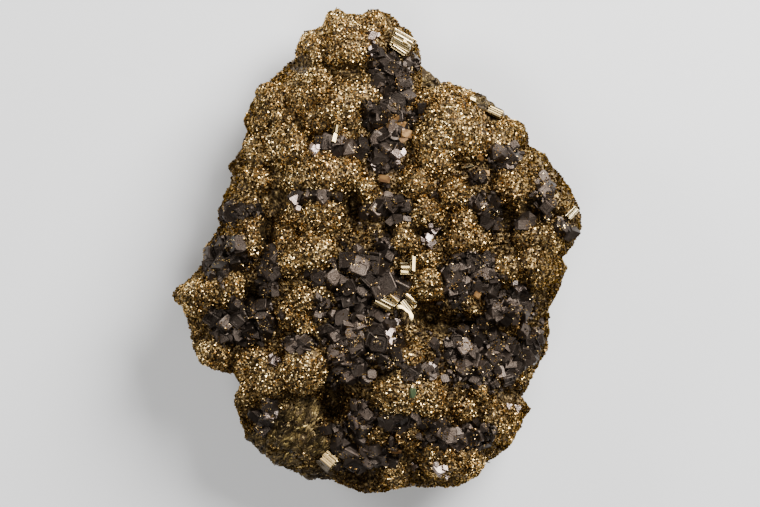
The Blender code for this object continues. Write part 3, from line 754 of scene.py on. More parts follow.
sample = terraced_points([0.5], np.zeros((1, 6)), np.zeros((1, 6, 2)))
print("points of a terraced crystal:", sample.shape[1])

# %% [markdown]
# How a crystal stands
#
# A crystal is turned by the golden angle for its number, tilted, and stood on the surface's own
# direction, so no two next to each other match. The solids use the same rule and the same chart,
# so the dressed clusters lie on the plain ones.

# %% Turning matrices
def about(axis, angle):
    """Matrices that turn by each angle about one axis of the frame."""
    cos, sin = np.cos(angle), np.sin(angle)
    turn = np.zeros((len(angle), 3, 3))
    first, second = (axis + 1) % 3, (axis + 2) % 3
    turn[:, axis, axis] = 1
    turn[:, first, first] = cos
    turn[:, second, second] = cos
    turn[:, second, first] = sin
    turn[:, first, second] = -sin
    return turn


def upright_to(normal):
    """Matrices that lay the upward direction on each normal by the shortest turn."""
    x, y, z = normal[:, 0], normal[:, 1], normal[:, 2]
    share = 1 / (1 + z)
    return np.stack([
        np.stack([1 - x * x * share, -x * y * share, x], axis=-1),
        np.stack([-x * y * share, 1 - y * y * share, y], axis=-1),
        np.stack([-x, -y, z], axis=-1),
    ], axis=1)


def random_turns(count, maker):
    """Matrices that turn every way alike, from four normal numbers made a unit quaternion."""
    w, x, y, z = unit(maker.normal(size=(count, 4))).T
    return np.stack([
        np.stack([1 - 2 * (y * y + z * z), 2 * (x * y - z * w), 2 * (x * z + y * w)], axis=-1),
        np.stack([2 * (x * y + z * w), 1 - 2 * (x * x + z * z), 2 * (y * z - x * w)], axis=-1),
        np.stack([2 * (x * z - y * w), 2 * (y * z + x * w), 1 - 2 * (x * x + y * y)], axis=-1),
    ], axis=1)


print("a turned axis keeps its length:", bool(abs(np.linalg.det(about(2, np.ones(1))[0]) - 1) < 1e-9))

# %% The chart of large galena, each crystal a place and a width
GALENA = {
    "galena_summit": [(1.0, 47.0, 3.4), (-1.6, 49.6, 3.0), (4.4, 44.6, 3.6), (5.4, 41.4, 3.2)],
    "galena_channel": [
        (2.2, 36.2, 3.8), (7.2, 37.4, 3.6), (4.8, 33.0, 3.4), (-0.8, 32.4, 3.2),
        (3.4, 28.8, 3.8), (-0.8, 27.6, 3.8), (-0.6, 24.2, 3.0), (3.8, 24.6, 3.4),
    ],
    "galena_band": [(-8.2, 24.6, 4.0), (-12.0, 26.8, 3.6)],
    "galena_slope": [(-36.8, 8.8, 3.2), (-33.6, 10.0, 3.0), (-30.4, 9.6, 3.2)],
    "galena_shelf": [(-13.6, 13.4, 3.4), (-11.2, 13.4, 3.2), (-17.0, 13.0, 3.0), (-20.2, 12.6, 3.2)],
    "galena_ledge": [
        (-38.2, -3.2, 3.8), (-41.3, -3.9, 3.4), (-41.2, -0.8, 3.8), (-38.2, 0.6, 3.6),
        (-34.8, -3.6, 4.2),
    ],
    "galena_nook": [(-25.8, -2.6, 3.8), (-25.0, -5.8, 3.2)],
    "galena_hollow": [
        (-34.6, -17.4, 3.8), (-38.0, -18.5, 4.2), (-31.4, -15.4, 3.8), (-34.8, -14.0, 3.4),
        (-28.2, -13.9, 3.8), (-41.2, -16.6, 3.4), (-38.2, -22.0, 3.6), (-34.8, -21.2, 3.4),
        (-31.4, -20.4, 3.8), (-28.2, -18.0, 3.6),
    ],
    "galena_heart": [
        (-2.4, -6.6, 4.6), (-4.6, -10.0, 3.6), (-7.4, -2.6, 4.4), (-9.4, -7.8, 3.8),
        (-7.4, -12.9, 3.6), (5.0, -8.8, 4.8), (2.0, -1.4, 3.4), (-14.4, -6.4, 3.8),
    ],
    "galena_saddle": [(3.2, 11.6, 4.2), (-0.8, 9.8, 3.8), (7.2, 11.0, 3.4)],
    "galena_belt": [
        (-0.6, -20.4, 4.2), (-0.6, -16.4, 3.8), (-4.8, -23.2, 4.2), (-5.2, -19.2, 3.6),
        (-9.4, -22.6, 4.0), (-12.2, -19.4, 3.6), (1.2, -26.2, 3.8), (-6.0, -27.6, 3.6),
        (-9.8, -27.2, 3.4), (-7.6, -31.0, 3.6),
    ],
    "galena_curl": [(-18.2, -23.6, 3.6), (-21.0, -23.2, 3.4)],
    "galena_thicket": [
        (23.0, -3.4, 3.4), (26.4, -1.8, 3.4), (19.4, -5.0, 3.2), (21.4, -8.0, 3.4),
        (18.2, -10.4, 3.0), (24.8, -8.2, 3.4), (28.0, -9.6, 3.4),
    ],
    "galena_steps": [
        (32.6, -12.8, 3.2), (34.8, -9.9, 3.2), (36.2, -13.8, 3.2), (29.4, -14.8, 3.8),
        (26.4, -17.4, 3.4),
    ],
    "galena_field": [
        (25.6, -29.0, 4.6), (22.4, -25.4, 3.6), (19.2, -22.6, 3.4), (20.6, -29.0, 3.6),
        (28.2, -24.6, 3.4), (30.4, -27.6, 3.6), (33.4, -24.4, 3.2), (34.2, -28.8, 3.6),
        (31.4, -31.6, 3.8), (37.6, -26.4, 3.4), (38.2, -22.4, 3.2),
    ],
    "galena_spur": [(11.0, -30.2, 3.4), (7.7, -31.2, 3.4)],
    "galena_terrace": [(19.2, -47.2, 4.4), (15.2, -45.2, 4.2), (23.6, -46.0, 3.6), (26.6, -44.2, 3.0)],
    "galena_lip": [(3.4, -42.6, 3.6), (7.0, -41.8, 3.2), (10.6, -42.4, 3.0)],
    "galena_foot": [(-5.8, -51.6, 4.6), (-2.2, -51.8, 3.6), (1.2, -51.2, 3.4), (-8.6, -47.8, 3.4)],
    "galena_blush": [(-5.2, -42.2, 3.6), (-2.4, -40.6, 3.0), (-5.2, -38.4, 3.0)],
    "galena_corner": [(-27.6, -41.2, 3.6), (-28.4, -44.4, 3.4), (-26.4, -38.2, 3.2)],
    "galena_shoulder": [(29.4, 24.4, 4.0), (33.2, 23.4, 3.2), (30.0, 21.4, 3.0)],
    "galena_shade": [(27.2, 9.8, 4.0), (24.2, 11.6, 3.6)],
    "galena_rim": [(40.6, 14.4, 4.2), (42.2, 11.0, 3.2)],
}
print("clusters:", len(GALENA), "crystals:", sum(len(chart) for chart in GALENA.values()))

# %% How clusters are laid out
CRYSTAL_LIFT = 0.16
CUT_EVERY = 3
CUBE_WIDTH = 0.88
LINK_SHARE = 0.74
TOUCHING = 0.46
TILT_LEAST = 12.0
TILT_MOST = 40.0


def cluster_rows(chart):
    """A cluster's crystals as rows of place, height, width and cut, with a cube in any wide gap."""
    crystals = []
    links = []
    for x, y, width in chart:
        z = float(front_height(np.array(x), np.array(y)))
        if crystals:
            near = min(crystals, key=lambda other: math.dist(other[:3], (x, y, z)))
            distance = math.dist(near[:3], (x, y, z))
            if distance > TOUCHING * (width + near[3]):
                middle = [(a + b) / 2 for a, b in zip(near[:3], (x, y, z))]
                links.append((*middle, LINK_SHARE * distance, 0))
        is_cut = len(crystals) % CUT_EVERY == 0
        crystals.append((x, y, z, width * (1 if is_cut else CUBE_WIDTH), 1 if is_cut else 0))
    return np.array(crystals + links)


def stand(x, y, z, width, number):
    """Turning matrices and middles of crystals by the golden-angle rule."""
    normal = front_normal(x, y)
    tilt = np.radians(TILT_LEAST + (TILT_MOST - TILT_LEAST) * ((number * 0.618) % 1.0))
    turn = upright_to(normal) @ about(2, GOLDEN_ANGLE * number) @ about(0, tilt)
    middle = np.stack([x, y, z], axis=-1) + normal * (width * CRYSTAL_LIFT)[:, None]
    return turn, middle


print("steepest tilt:", TILT_MOST, "degrees")


# %% Growing the large clusters
FULL_CUT = 0.96  # close to one, where the cuts of two corners meet
FACE_STEPS = [0.03, 0.05, -0.03, 0.17]  # thin, thicker, raised, and a hopper
FACE_CHANCES = [0.38, 0.22, 0.22, 0.18]
CRYSTAL_SKEW = 0.06
PAINTED_SHADE_FROM = -22  # painted shade: crystals left of here are darker
PAINTED_SHADE_OVER = 10
PAINTED_SHADE_BY = 0.55


def galena_tone(x, maker):
    """Each crystal's tone, drawn at random, and lowered on the left flank as painted shade."""
    # Painted shade: the tone falls off towards the left.
    flank = 1 - PAINTED_SHADE_BY * np.clip((PAINTED_SHADE_FROM - x) / PAINTED_SHADE_OVER, 0, 1)
    return maker.beta(1.2, 1.9, len(x)) * flank


large_meshes = []
for order, (name, chart) in enumerate(GALENA.items()):
    rows = cluster_rows(chart)
    maker = np.random.default_rng(100 + order)
    count = len(rows)
    turn, middle = stand(rows[:, 0], rows[:, 1], rows[:, 2], rows[:, 3], np.arange(count))
    cut = np.where(rows[:, 4] > 0, FULL_CUT, maker.uniform(0.1, 0.42, count))
    step = maker.choice(FACE_STEPS, size=(count, 6), p=FACE_CHANCES)
    drift = maker.uniform(-0.7, 0.7, size=(count, 6, 2)) * (1 - cut[:, None, None] * 0.6)
    template = skewed(terraced_points(cut, step, drift), CRYSTAL_SKEW, maker)
    points, triangles = joined(set_out(template, rows[:, 3], turn, middle), TERRACED_TRIANGLES)
    tone = np.repeat(galena_tone(rows[:, 0], maker), template.shape[1])
    piece = add_piece(name + "_crystals", points, triangles, GALENA_GREY, "galena", tone)
    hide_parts(name)
    large_meshes.append((points, triangles))

# %% [markdown]
# Ruled pyrite
#
# A few large pyrite crystals have ruled faces: two habits of growth took turns, so a face is a
# stair of narrow ledges. Each is a section carried along a length. The section goes up one side,
# over the top and down the other, and saw-toothed furrows are cut in along it. Every ledge ends
# at its own length, which leaves the ends ragged. A bump in the material would be less work, but
# the ledges would then be missing from the mesh.
#
# A polished face shows bright only when it sends a light to the eye. From straight above, that
# is a face square to the line half way between straight up and the main light. The plain
# blades below, with shallow furrows, are stood on that line.

# %% The chart of ruled blocks: place, length, width, height, turn and lean
STRIATED = {
    "pyrite_crown": (5.6, 51.6, 7.0, 5.2, 5.6, -30, 14),
    "pyrite_flag": (28.6, 33.8, 5.0, 2.8, 4.4, -25, 10),
    "pyrite_bar": (7.0, -4.4, 4.4, 3.0, 3.6, 0, 8),
    "pyrite_fan": (1.4, -12.2, 6.6, 3.2, 4.2, -28, 16),
    "pyrite_chevron": (7.2, -13.2, 4.4, 2.4, 3.6, -52, 20),
    "pyrite_rod": (48.0, 9.2, 4.6, 1.8, 2.6, 45, 6),
    "pyrite_plate": (-12.3, -51.8, 4.8, 4.2, 3.4, -35, 12),
    "pyrite_slat": (-10.5, 30.4, 3.2, 1.3, 3.2, 80, 8),
}
UP = np.array([0.0, 0.0, 1.0])
KEY_LIGHT = np.array([0.36, 0.36, 0.42])  # metres
HALF_WAY = unit(unit(KEY_LIGHT) + UP)
STRIATED_LIFT = 0.2
STRIATED_TAPER = 0.8
STRIATED_UPRIGHT = 0.6  # how much a block stands straight up and not on the surface's direction
RULE_SPACING = 0.52
RULE_DEPTH = 0.24
LEDGE_PROFILE = [(0.0, 1.0), (0.15, 0.0), (0.62, 0.2)]  # share of the way over, and depth there
ALONG_ROWS = 7
CAP_TONE = 0.6
DULL = {"pyrite_flag": 0.22, "pyrite_plate": 0.8, "pyrite_slat": 0.4}  # tones are multiplied by this
SHALLOW = {"pyrite_plate": 0.13, "pyrite_slat": 0.05, "pyrite_rod": 0.12}  # depths of furrows
print("half way to the light:", HALF_WAY.round(2))


# %% Ruled blocks
def ruled_section(width, height, depth, maker):
    """The section: points along a trapezoid, drawn towards its middle by the ledges' own furrows."""
    side = math.hypot(height, (1 - STRIATED_TAPER) * width / 2)
    top = STRIATED_TAPER * width
    around = 2 * side + top
    ledges = int(round(around / RULE_SPACING))
    ends = np.cumsum(maker.uniform(0.5, 1.5, ledges))
    ends = np.insert(ends / ends[-1], 0, 0.0) * around
    low, high = ends[:-1], ends[1:]
    at = np.stack([low + share * (high - low) for share, _ in LEDGE_PROFILE], axis=-1).ravel()
    drawn_in = np.tile([depth * deep for _, deep in LEDGE_PROFILE], ledges)
    drawn_in = drawn_in * np.repeat(maker.uniform(0.6, 1.6, ledges), len(LEDGE_PROFILE))
    at = np.append(at, around)
    drawn_in = np.append(drawn_in, depth)
    corners_at = [0.0, side, side + top, around]
    across = np.interp(at, corners_at, [-width / 2, -top / 2, top / 2, width / 2])
    up = np.interp(at, corners_at, [-height / 2, height / 2, height / 2, -height / 2])
    inward = unit(-np.stack([across / (width / 2), up / (height / 2)], axis=-1))
    across = across + inward[:, 0] * drawn_in
    up = np.maximum(up + inward[:, 1] * drawn_in, -height / 2)
    return across, up, drawn_in, ledges


def block_stand(x, y, height, turn, lean, glinting):
    """A block's turning matrix and middle. A glinting one stands on the half-way line, and is moved
    sideways so that its top lies over its place."""
    x, y = np.array([x]), np.array([y])
    tilted = unit(front_normal(x, y) * (1 - STRIATED_UPRIGHT) + UP * STRIATED_UPRIGHT)
    upright = HALF_WAY[None] if glinting else tilted
    turned = upright_to(upright) @ about(2, np.radians([turn])) @ about(0, np.radians([lean]))
    middle = np.stack([x, y, front_height(x, y)], axis=-1) + upright * height * STRIATED_LIFT
    if glinting:
        middle[:, :2] -= HALF_WAY[:2] * height * (STRIATED_LIFT + 0.5)
    return turned[0], middle


def ruled_block(x, y, length, width, height, turn, lean, maker, depth=RULE_DEPTH, glinting=False):
    """A block with ledges: its section carried along its length and shut at both ends by fans."""
    across, up, drawn_in, ledges = ruled_section(width, height, depth, maker)
    taper = 1 + (STRIATED_TAPER - 1) * (up / height + 0.5)
    own = np.repeat(maker.uniform(0.78, 1.0, (ledges, 2)), len(LEDGE_PROFILE), axis=0)
    own = np.vstack([own, own[-1:]])
    along = np.linspace(-1, 1, ALONG_ROWS)[:, None] * (length / 2 * taper)
    lengthwise = np.where(along < 0, along * own[:, 0], along * own[:, 1])
    everywhere = [lengthwise] + [np.broadcast_to(part, lengthwise.shape) for part in (across, up)]
    points = np.stack(everywhere, axis=-1)
    # Painted shade and light: the tone is lowered in the furrows, and one side of the block is painted
    # lighter than the other.
    painted_side_light = 0.38 * depth / RULE_DEPTH
    shade = np.clip(1 - drawn_in / RULE_DEPTH, 0, 1) * (1 - painted_side_light + painted_side_light * across / (width / 2))
    tone = np.append(np.broadcast_to(shade, lengthwise.shape).ravel(), [CAP_TONE, CAP_TONE])
    index = np.arange(lengthwise.size).reshape(lengthwise.shape)
    closed = np.hstack([index, index[:, :1]])
    triangles = [grid_triangles(closed)]
    for number, ring in enumerate((closed[0], closed[-1, ::-1])):
        centre = np.full(len(ring) - 1, lengthwise.size + number)
        triangles.append(np.stack([centre, ring[1:], ring[:-1]], axis=-1))
    points = np.vstack([points.reshape(-1, 3), points[0].mean(axis=0), points[-1].mean(axis=0)])
    turned, middle = block_stand(x, y, height, turn, lean, glinting)
    return points @ turned.T + middle, np.vstack(triangles)[:, ::-1], tone


sample = ruled_section(3.0, 3.0, RULE_DEPTH, np.random.default_rng(1))
print("ledges round a section three millimetres wide:", sample[-1])

# %% Thin blades, ruled and plain
BLADES = [
    (1.6, -13.5, 6.0, 0.8, 2.8, -17, 10), (2.2, -12.3, 6.2, 0.9, 3.6, -27, 8),
    (3.2, -11.2, 5.4, 0.9, 4.4, -44, 6), (7.9, -12.4, 4.0, 0.9, 3.4, -32, 10),
    (7.4, -11.4, 3.4, 0.8, 3.2, -38, 12), (4.8, 50.0, 5.6, 1.5, 4.6, -33, 14),
    (22.5, 20.7, 3.0, 0.6, 2.0, 15, 10), (24.0, 11.0, 2.2, 0.5, 2.0, -10, 10),
]
PLAIN_BLADES = [  # the last number of a row multiplies its tone
    (8.7, -3.2, 5.4, 1.4, 5.4, 84, 3, 0.22), (7.6, 52.4, 3.2, 2.4, 7.2, -30, 5, 0.3),
    (-10.8, 27.9, 3.2, 1.1, 6.2, 74, 0, 0.6), (23.6, 37.9, 2.2, 1.7, 3.0, -20, 4, 0.35),
    (6.7, -3.9, 3.4, 0.8, 5.0, 2, 4, 0.18), (6.7, -5.1, 3.4, 0.7, 4.8, -3, 4, 0.18),
    (-12.1, -51.6, 4.6, 3.8, 4.6, -40, 9, 0.04),
]
PLAIN_DEPTH = 0.05


def merged(meshes):
    """Several meshes as one pair of arrays, each one's indices moved on past the points before it."""
    offsets = np.cumsum([0] + [len(points) for points, _ in meshes])
    moved = [triangles + offset for (_, triangles), offset in zip(meshes, offsets)]
    return np.vstack([points for points, _ in meshes]), np.vstack(moved)


blades, tones = [], []
for order, row in enumerate(BLADES):
    *mesh, tone = ruled_block(*row, np.random.default_rng(600 + order))
    blades.append(mesh)
    tones.append(tone)
for order, (*row, brightness) in enumerate(PLAIN_BLADES):
    maker = np.random.default_rng(700 + order)
    *mesh, tone = ruled_block(*row, maker, PLAIN_DEPTH, glinting=True)
    blades.append(mesh)
    tones.append(brightness * tone)
add_piece("pyrite_blades", *merged(blades), RULED, "striated_pyrite", np.concatenate(tones))

# %% The eight large crystals
for order, (name, row) in enumerate(STRIATED.items()):
    maker = np.random.default_rng(500 + order)
    points, triangles, tone = ruled_block(*row, maker, SHALLOW.get(name, RULE_DEPTH))
    tone = tone * DULL.get(name, 1.0)
    piece = add_piece(name + "_ruled", points, triangles, RULED, "striated_pyrite", tone)
    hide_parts(name)

# %% [markdown]
# A curved blade
#
# Round one hollow runs a bright curved blade. It could be a curve object with a bevel, but a
# formula gives its width at every place. It is a flat section, nearly a rectangle, swept along
# part of a circle: one parameter goes round the section, the other along the arc, and the
# section shrinks to a point at both ends, which closes it. The circle lies in a plane square to
# the half-way line, so all of it shines.

# %% The arc
ARC_MIDDLE = (5.2, -16.9)
ARC_RADIUS = 3.0
ARC_FROM, ARC_TO = math.radians(112), math.radians(-22)
ARC_HALF_WIDTH = 0.75
ARC_HALF_HEIGHT = 0.6
ARC_LIFT = 3.6
ARC_WAVE = 0.2  # its width wavers by this share
ARC_WAVES = 9
ARC_TONE = 0.33
SECTION_SQUARENESS = 0.45  # one would make the section an oval


def arc_blade(stations=28, around=16):
    """Point = circle(v) + taper(v) * (width c(u) outwards, height s(u) upwards), where c and s are a
    cosine and a sine raised to a small power, which squares the oval off. Then the whole arc slopes
    with its tilted plane."""
    v = np.linspace(0, 1, stations)[:, None]
    u = np.linspace(0, 2 * math.pi, around, endpoint=False)[None]
    turn = ARC_FROM + (ARC_TO - ARC_FROM) * v
    taper = np.sin(math.pi * v) ** 0.5
    out, up = (np.sign(wave) * np.abs(wave) ** SECTION_SQUARENESS for wave in (np.cos(u), np.sin(u)))
    reach = ARC_RADIUS + ARC_HALF_WIDTH * taper * out * (1 + ARC_WAVE * np.sin(ARC_WAVES * turn))
    x, y = reach * np.cos(turn), reach * np.sin(turn)
    ground = float(front_height(np.array(ARC_MIDDLE[0]), np.array(ARC_MIDDLE[1])))
    slope = -(HALF_WAY[0] * x + HALF_WAY[1] * y) / HALF_WAY[2]
    z = ground + ARC_LIFT + slope + ARC_HALF_HEIGHT * taper * up
    index = np.arange(stations * around).reshape(stations, around)
    index[0], index[-1] = index[0, 0], index[-1, 0]
    triangles = grid_triangles(np.hstack([index, index[:, :1]]))
    a, b, c = triangles.T
    points = np.stack([ARC_MIDDLE[0] + x, ARC_MIDDLE[1] + y, z], axis=-1).reshape(-1, 3)
    return points, triangles[(a != b) & (b != c) & (a != c)]


points, triangles = arc_blade()
print("the blade's heights:", points[:, 2].min().round(1), "to", points[:, 2].max().round(1), "mm")
add_piece("curved_blade", points, triangles, RULED, "striated_pyrite", np.full(len(points), ARC_TONE))

# %% [markdown]
# Bright faces
#
# Where the specimen has freshly cleaved galena, a few faces in a small group shine at once. Each
# group is four crystals of different sizes round one place, pulled out of square, each with one
# face nearly on the half-way line. They take the paler, smoother galena finish.

# %% Fresh faces, each a place and a size
BRIGHT = [
    (4.4, 23.5, 3.0), (-1.4, 21.2, 1.8), (-1.5, 53, 2.2), (-1.5, 49, 2.0), (-16, 25, 2.0),
    (-20.3, 12.2, 3.0), (2.3, -20.5, 2.3), (2.8, -22.8, 2.0), (-4.5, -15, 1.8), (-8, -17.2, 1.3),
    (-26, -27.5, 2.3), (13.5, 5, 2.0), (12.2, 3, 1.6), (10.9, 2.4, 1.2), (12.8, 1.5, 1.8),
    (-28, -38.5, 2.0), (-27.5, -41, 3.0), (-5.5, -42.5, 3.5), (15, -54.5, 2.5), (17, -56.5, 1.0),
    (8.8, -54, 1.3), (37.5, -24, 2.0), (13.2, -29, 1.5), (34.5, -9.5, 2.6), (34.6, -39.5, 1.3),
    (32.5, -38.8, 1.0), (2.0, -16.0, 1.0), (-4.9, -4.9, 1.2), (-6.0, -40.0, 1.5), (-1.3, -41.0, 1.5),
    (4.6, -17.6, 1.1),
]
GLINT_GROUP = [(0.0, 0.0, 0.85), (0.55, 0.2, 0.5), (-0.3, 0.55, 0.45), (0.1, -0.6, 0.4)]  # in sizes
GLINT_SKEW = 0.14
GLINT_STRAY = 0.11  # how far a face strays from the half-way line
GLINT_LIFT = 0.2


def on_front_at(rows, lift):
    """The place of each row on the slab's front, raised by a lift."""
    x, y = rows[:, 0], rows[:, 1]
    return np.stack([x, y, front_height(x, y) + lift], axis=-1)


rows = np.array([
    (x + across * size, y + along * size, share * size)
    for x, y, size in BRIGHT for across, along, share in GLINT_GROUP
])
maker = np.random.default_rng(23)
count = len(rows)
template = skewed(corner_points(maker.uniform(0.08, 0.4, count)), GLINT_SKEW, maker)
middle = on_front_at(rows, rows[:, 2] * 0.35 + GLINT_LIFT)
facing = unit(HALF_WAY + maker.normal(0, GLINT_STRAY, (count, 3)))
turn = upright_to(facing) @ about(2, maker.uniform(0, math.pi, count))
points, triangles = joined(set_out(template, rows[:, 2], turn, middle), PLAIN_TRIANGLES)
tone = np.repeat(maker.uniform(0.1, 1.0, count), template.shape[1])
add_piece("fresh_galena_faces", points, triangles, GALENA_BRIGHT, "galena", tone)

# %% [markdown]
# Flakes and two coloured grains
#
# Here and there an amber or tan flake of a clear mineral lies on the druse. Each is a crystal
# template flattened and stretched. One green and one teal grain, the only ones of their colour,
# are single crystals with plain finishes of their own.

# %% Flakes, each a place, a length and a width
FLAKES = [
    (5.8, 31.5, 2.0, 1.4), (2.6, 33.6, 2.2, 1.5), (6.2, 27.6, 2.0, 1.4), (3.0, 30.4, 2.4, 1.6),
    (0.4, 29.8, 1.8, 1.3), (4.2, 32.5, 3.5, 2.4), (7.0, 29.0, 3.0, 2.0), (1.5, 17.7, 2.8, 1.8),
    (24.5, -11.0, 2.2, 1.6), (27.0, 19.2, 1.4, 1.1), (-7.2, -9.2, 3.2, 1.8), (25.3, 23.0, 2.5, 1.2),
    (4.2, -50.0, 3.0, 1.0),
]
FLAKE_LIFT = 1.3
FLAKE_THICKNESS = 0.22  # as a share of the length
rows = np.array(FLAKES)
count = len(rows)
maker = np.random.default_rng(29)
stretch = np.stack([np.ones(count), rows[:, 3] / rows[:, 2], np.full(count, FLAKE_THICKNESS)], axis=-1)
template = corner_points(maker.uniform(0.3, 0.8, count)) * stretch[:, None]
lying = upright_to(front_normal(rows[:, 0], rows[:, 1]))
turn = lying @ about(2, maker.uniform(0, math.pi, count))
flakes = set_out(template, rows[:, 2], turn, on_front_at(rows, FLAKE_LIFT))
tone = np.repeat(maker.uniform(0.3, 1, count), template.shape[1])
add_piece("amber_flakes", *joined(flakes, PLAIN_TRIANGLES), FLAKE, "druse", tone)

# %% The green and the teal grain: place, length, narrowness and colour
TINTED = {
    "green grain": (8.4, -35.2, 2.4, 0.62, (0.06, 0.085, 0.04)),
    "teal grain": (26.2, 17.3, 1.4, 0.9, (0.015, 0.05, 0.06)),
}
TINTED_CUT = 0.9
TINTED_THICKNESS = 0.5
TINTED_LIFT = 0.6
TINTED_LEAN = math.radians(14.0)
for name, (x, y, size, narrow, colour) in TINTED.items():
    material, _, shader = new_material(name, 0.3, 0.3)
    shader.inputs["Base Color"].default_value = (*colour, 1.0)
    at = np.array([[x, y]])
    template = corner_points([TINTED_CUT]) * np.array([narrow, 1.0, TINTED_THICKNESS])
    turn = upright_to(front_normal(at[:, 0], at[:, 1])) @ about(0, np.array([TINTED_LEAN]))
    grain = set_out(template, np.array([size]), turn, on_front_at(at, TINTED_LIFT))
    add_piece(name.replace(" ", "_"), *joined(grain, PLAIN_TRIANGLES), material, "druse")

# %% [markdown]
# Where grains may grow
#
# Grains and small crystals are strewn over the skin by area: each triangle's chance is its area
# times a weight for its place, and a place inside a triangle is two random shares folded back
# into it. A particle system or a node tree could strew them too, but then their number and
# places would hang on settings that can't be read here. The weight keeps galena in its patches,
# with ragged gaps in them, thins the druse there and down the broken edge, and leaves room
# round the large crystals.

# %% Room round the large crystals, each a place and a radius
SET_APART = [
    (x, y, 0.42 * max(length, width))
    for x, y, length, width, *_ in [*STRIATED.values(), *BLADES]
]
SET_APART += [(7.0, -14.4, 2.0), (8.2, -16.6, 1.6)]  # along the curved blade
SET_APART += [(8.4, -35.2, 0.9), (26.2, 17.3, 0.6)]  # the two coloured grains
SET_APART += [(x, y, 0.55 * size) for x, y, size in BRIGHT]
SET_APART += [(x, y, 0.45 * size) for x, y, size, _ in FLAKES]
print("places set apart:", len(SET_APART))

# %% What each triangle of the skin is near
skin_corners = skin_points[skin_triangles]
skin_middles = skin_corners.mean(axis=1)
skin_cross = np.cross(skin_corners[:, 1] - skin_corners[:, 0], skin_corners[:, 2] - skin_corners[:, 0])
skin_area = np.linalg.norm(skin_cross, axis=-1) / 2
in_pit = np.zeros(len(skin_middles))
for *pit, _ in PITS:
    in_pit = np.maximum(in_pit, pit_share(skin_middles[:, 0], skin_middles[:, 1], *pit))
OPEN_PIT = 0.25  # past this share of a pit's depth no galena grows, and few grains
clear = in_pit < OPEN_PIT
for x, y, room in SET_APART:
    clear &= np.hypot(skin_middles[:, 0] - x, skin_middles[:, 1] - y) > room
skin_rise = lump_rise(skin_middles[:, 0], skin_middles[:, 1])
across, along = skin_middles[:, 0] - MIDDLE[0], skin_middles[:, 1] - MIDDLE[1]
near_rim = np.hypot(across, along) / outline_radius(np.arctan2(along, across)) > RIM_MARGIN
on_wall = (skin_triangles >= SKIN_GRID**2).any(axis=1)
print("area of the skin:", int(skin_area.sum()), "square millimetres")

# %% Where galena may grow
VALLEY_CELL = 4.5  # the sizes of cells, in millimetres
GAP_CELL = 3.0
valley_reach = VALLEY_DEPTH * (1.9 - 2.2 * nearest_seed(skin_middles, VALLEY_CELL, 77.0))
in_field = np.clip(2 * within(skin_middles, VALLEY_FIELDS), 0, 1)
in_clump = np.clip(3 - 5 * nearest_seed(skin_middles, GAP_CELL, 83.0), 0, 1)
in_valley = np.clip((valley_reach - skin_rise) / 0.5, 0, 1) * in_field * in_clump
patch_gaps = 1.3 * (0.42 - nearest_seed(skin_middles, GAP_CELL, 63.0))
in_patch = np.clip(4 * (within(skin_middles, GALENA_PATCHES) + patch_gaps), 0, 1)
in_galena = np.maximum(in_patch, in_valley)
in_broken = within(skin_middles, BROKEN_PATCHES)
galena_weight = in_galena * clear * (in_broken < 0) * ~(on_wall | near_rim)
print("area of galena:", int((skin_area * galena_weight).sum()), "square millimetres")


# %% Strewing
def strewn(count, weight, maker):
    """Places on the skin and the directions it faces there, more where the weight is more."""
    chance = skin_area * weight
    chosen = maker.choice(len(chance), count, p=chance / chance.sum())
    share = maker.random((count, 2))
    share = np.where(share.sum(axis=1, keepdims=True) > 1, 1 - share, share)
    corner = skin_corners[chosen]
    edges = corner[:, 1:] - corner[:, :1]
    return corner[:, 0] + np.einsum("nk,nkj->nj", share, edges), unit(skin_cross[chosen])


print("triangles of the skin to strew on:", len(skin_area))

# %% [markdown]
# Small galena
#
# Between the large crystals a patch is paved with small ones, one to a little over three
# millimetres across. At that size the terraces don't show, so they keep flat faces: 44
# triangles each. They are pulled further out of square than the large ones.

# %% Small crystals
SMALL_GALENA = 1600
SMALL_SKEW = 0.15
SMALL_LIFT = 0.2  # as a share of the width
maker = np.random.default_rng(7)
places, facing = strewn(SMALL_GALENA, galena_weight, maker)
width = maker.uniform(0.9, 1.5, SMALL_GALENA)
width = width * maker.choice([1.0, 1.6, 2.2], SMALL_GALENA, p=[0.56, 0.28, 0.16])
cut = maker.choice([0.15, 0.4, 0.9], SMALL_GALENA)
template = skewed(corner_points(cut), SMALL_SKEW, maker)
middle = places + facing * (width * SMALL_LIFT)[:, None]
crystals = set_out(template, width, random_turns(SMALL_GALENA, maker), middle)
points, triangles = joined(crystals, PLAIN_TRIANGLES)
tone = np.repeat(galena_tone(places[:, 0], maker), template.shape[1])
add_piece("small_galena", points, triangles, GALENA_GREY, "galena", tone)
dusted = [(points, triangles)] + large_meshes

# %% [markdown]
# Splinters of the broken slab
#
# Where the slab broke it is splintered along one direction. The splinters are octahedra drawn
# out long and thin, laid along the surface and turned most of the way to that direction. They
# cover the broken patch on the front and the broken edge all the way round. An octahedron is
# the plainest closed crystal, with eight triangles, so thousands of them stay light.

# %% The octahedron
OCTAHEDRON = np.vstack([np.eye(3), -np.eye(3)])
OCTAHEDRON_TRIANGLES = np.array([
    [0, 1, 2], [1, 3, 2], [3, 4, 2], [4, 0, 2], [1, 0, 5], [3, 1, 5], [4, 3, 5], [0, 4, 5],
])


def octahedra(count):
    """The octahedron as the template of so many crystals."""
    return np.broadcast_to(OCTAHEDRON, (count, *OCTAHEDRON.shape))


print("an octahedron:", len(OCTAHEDRON), "points,", len(OCTAHEDRON_TRIANGLES), "triangles")


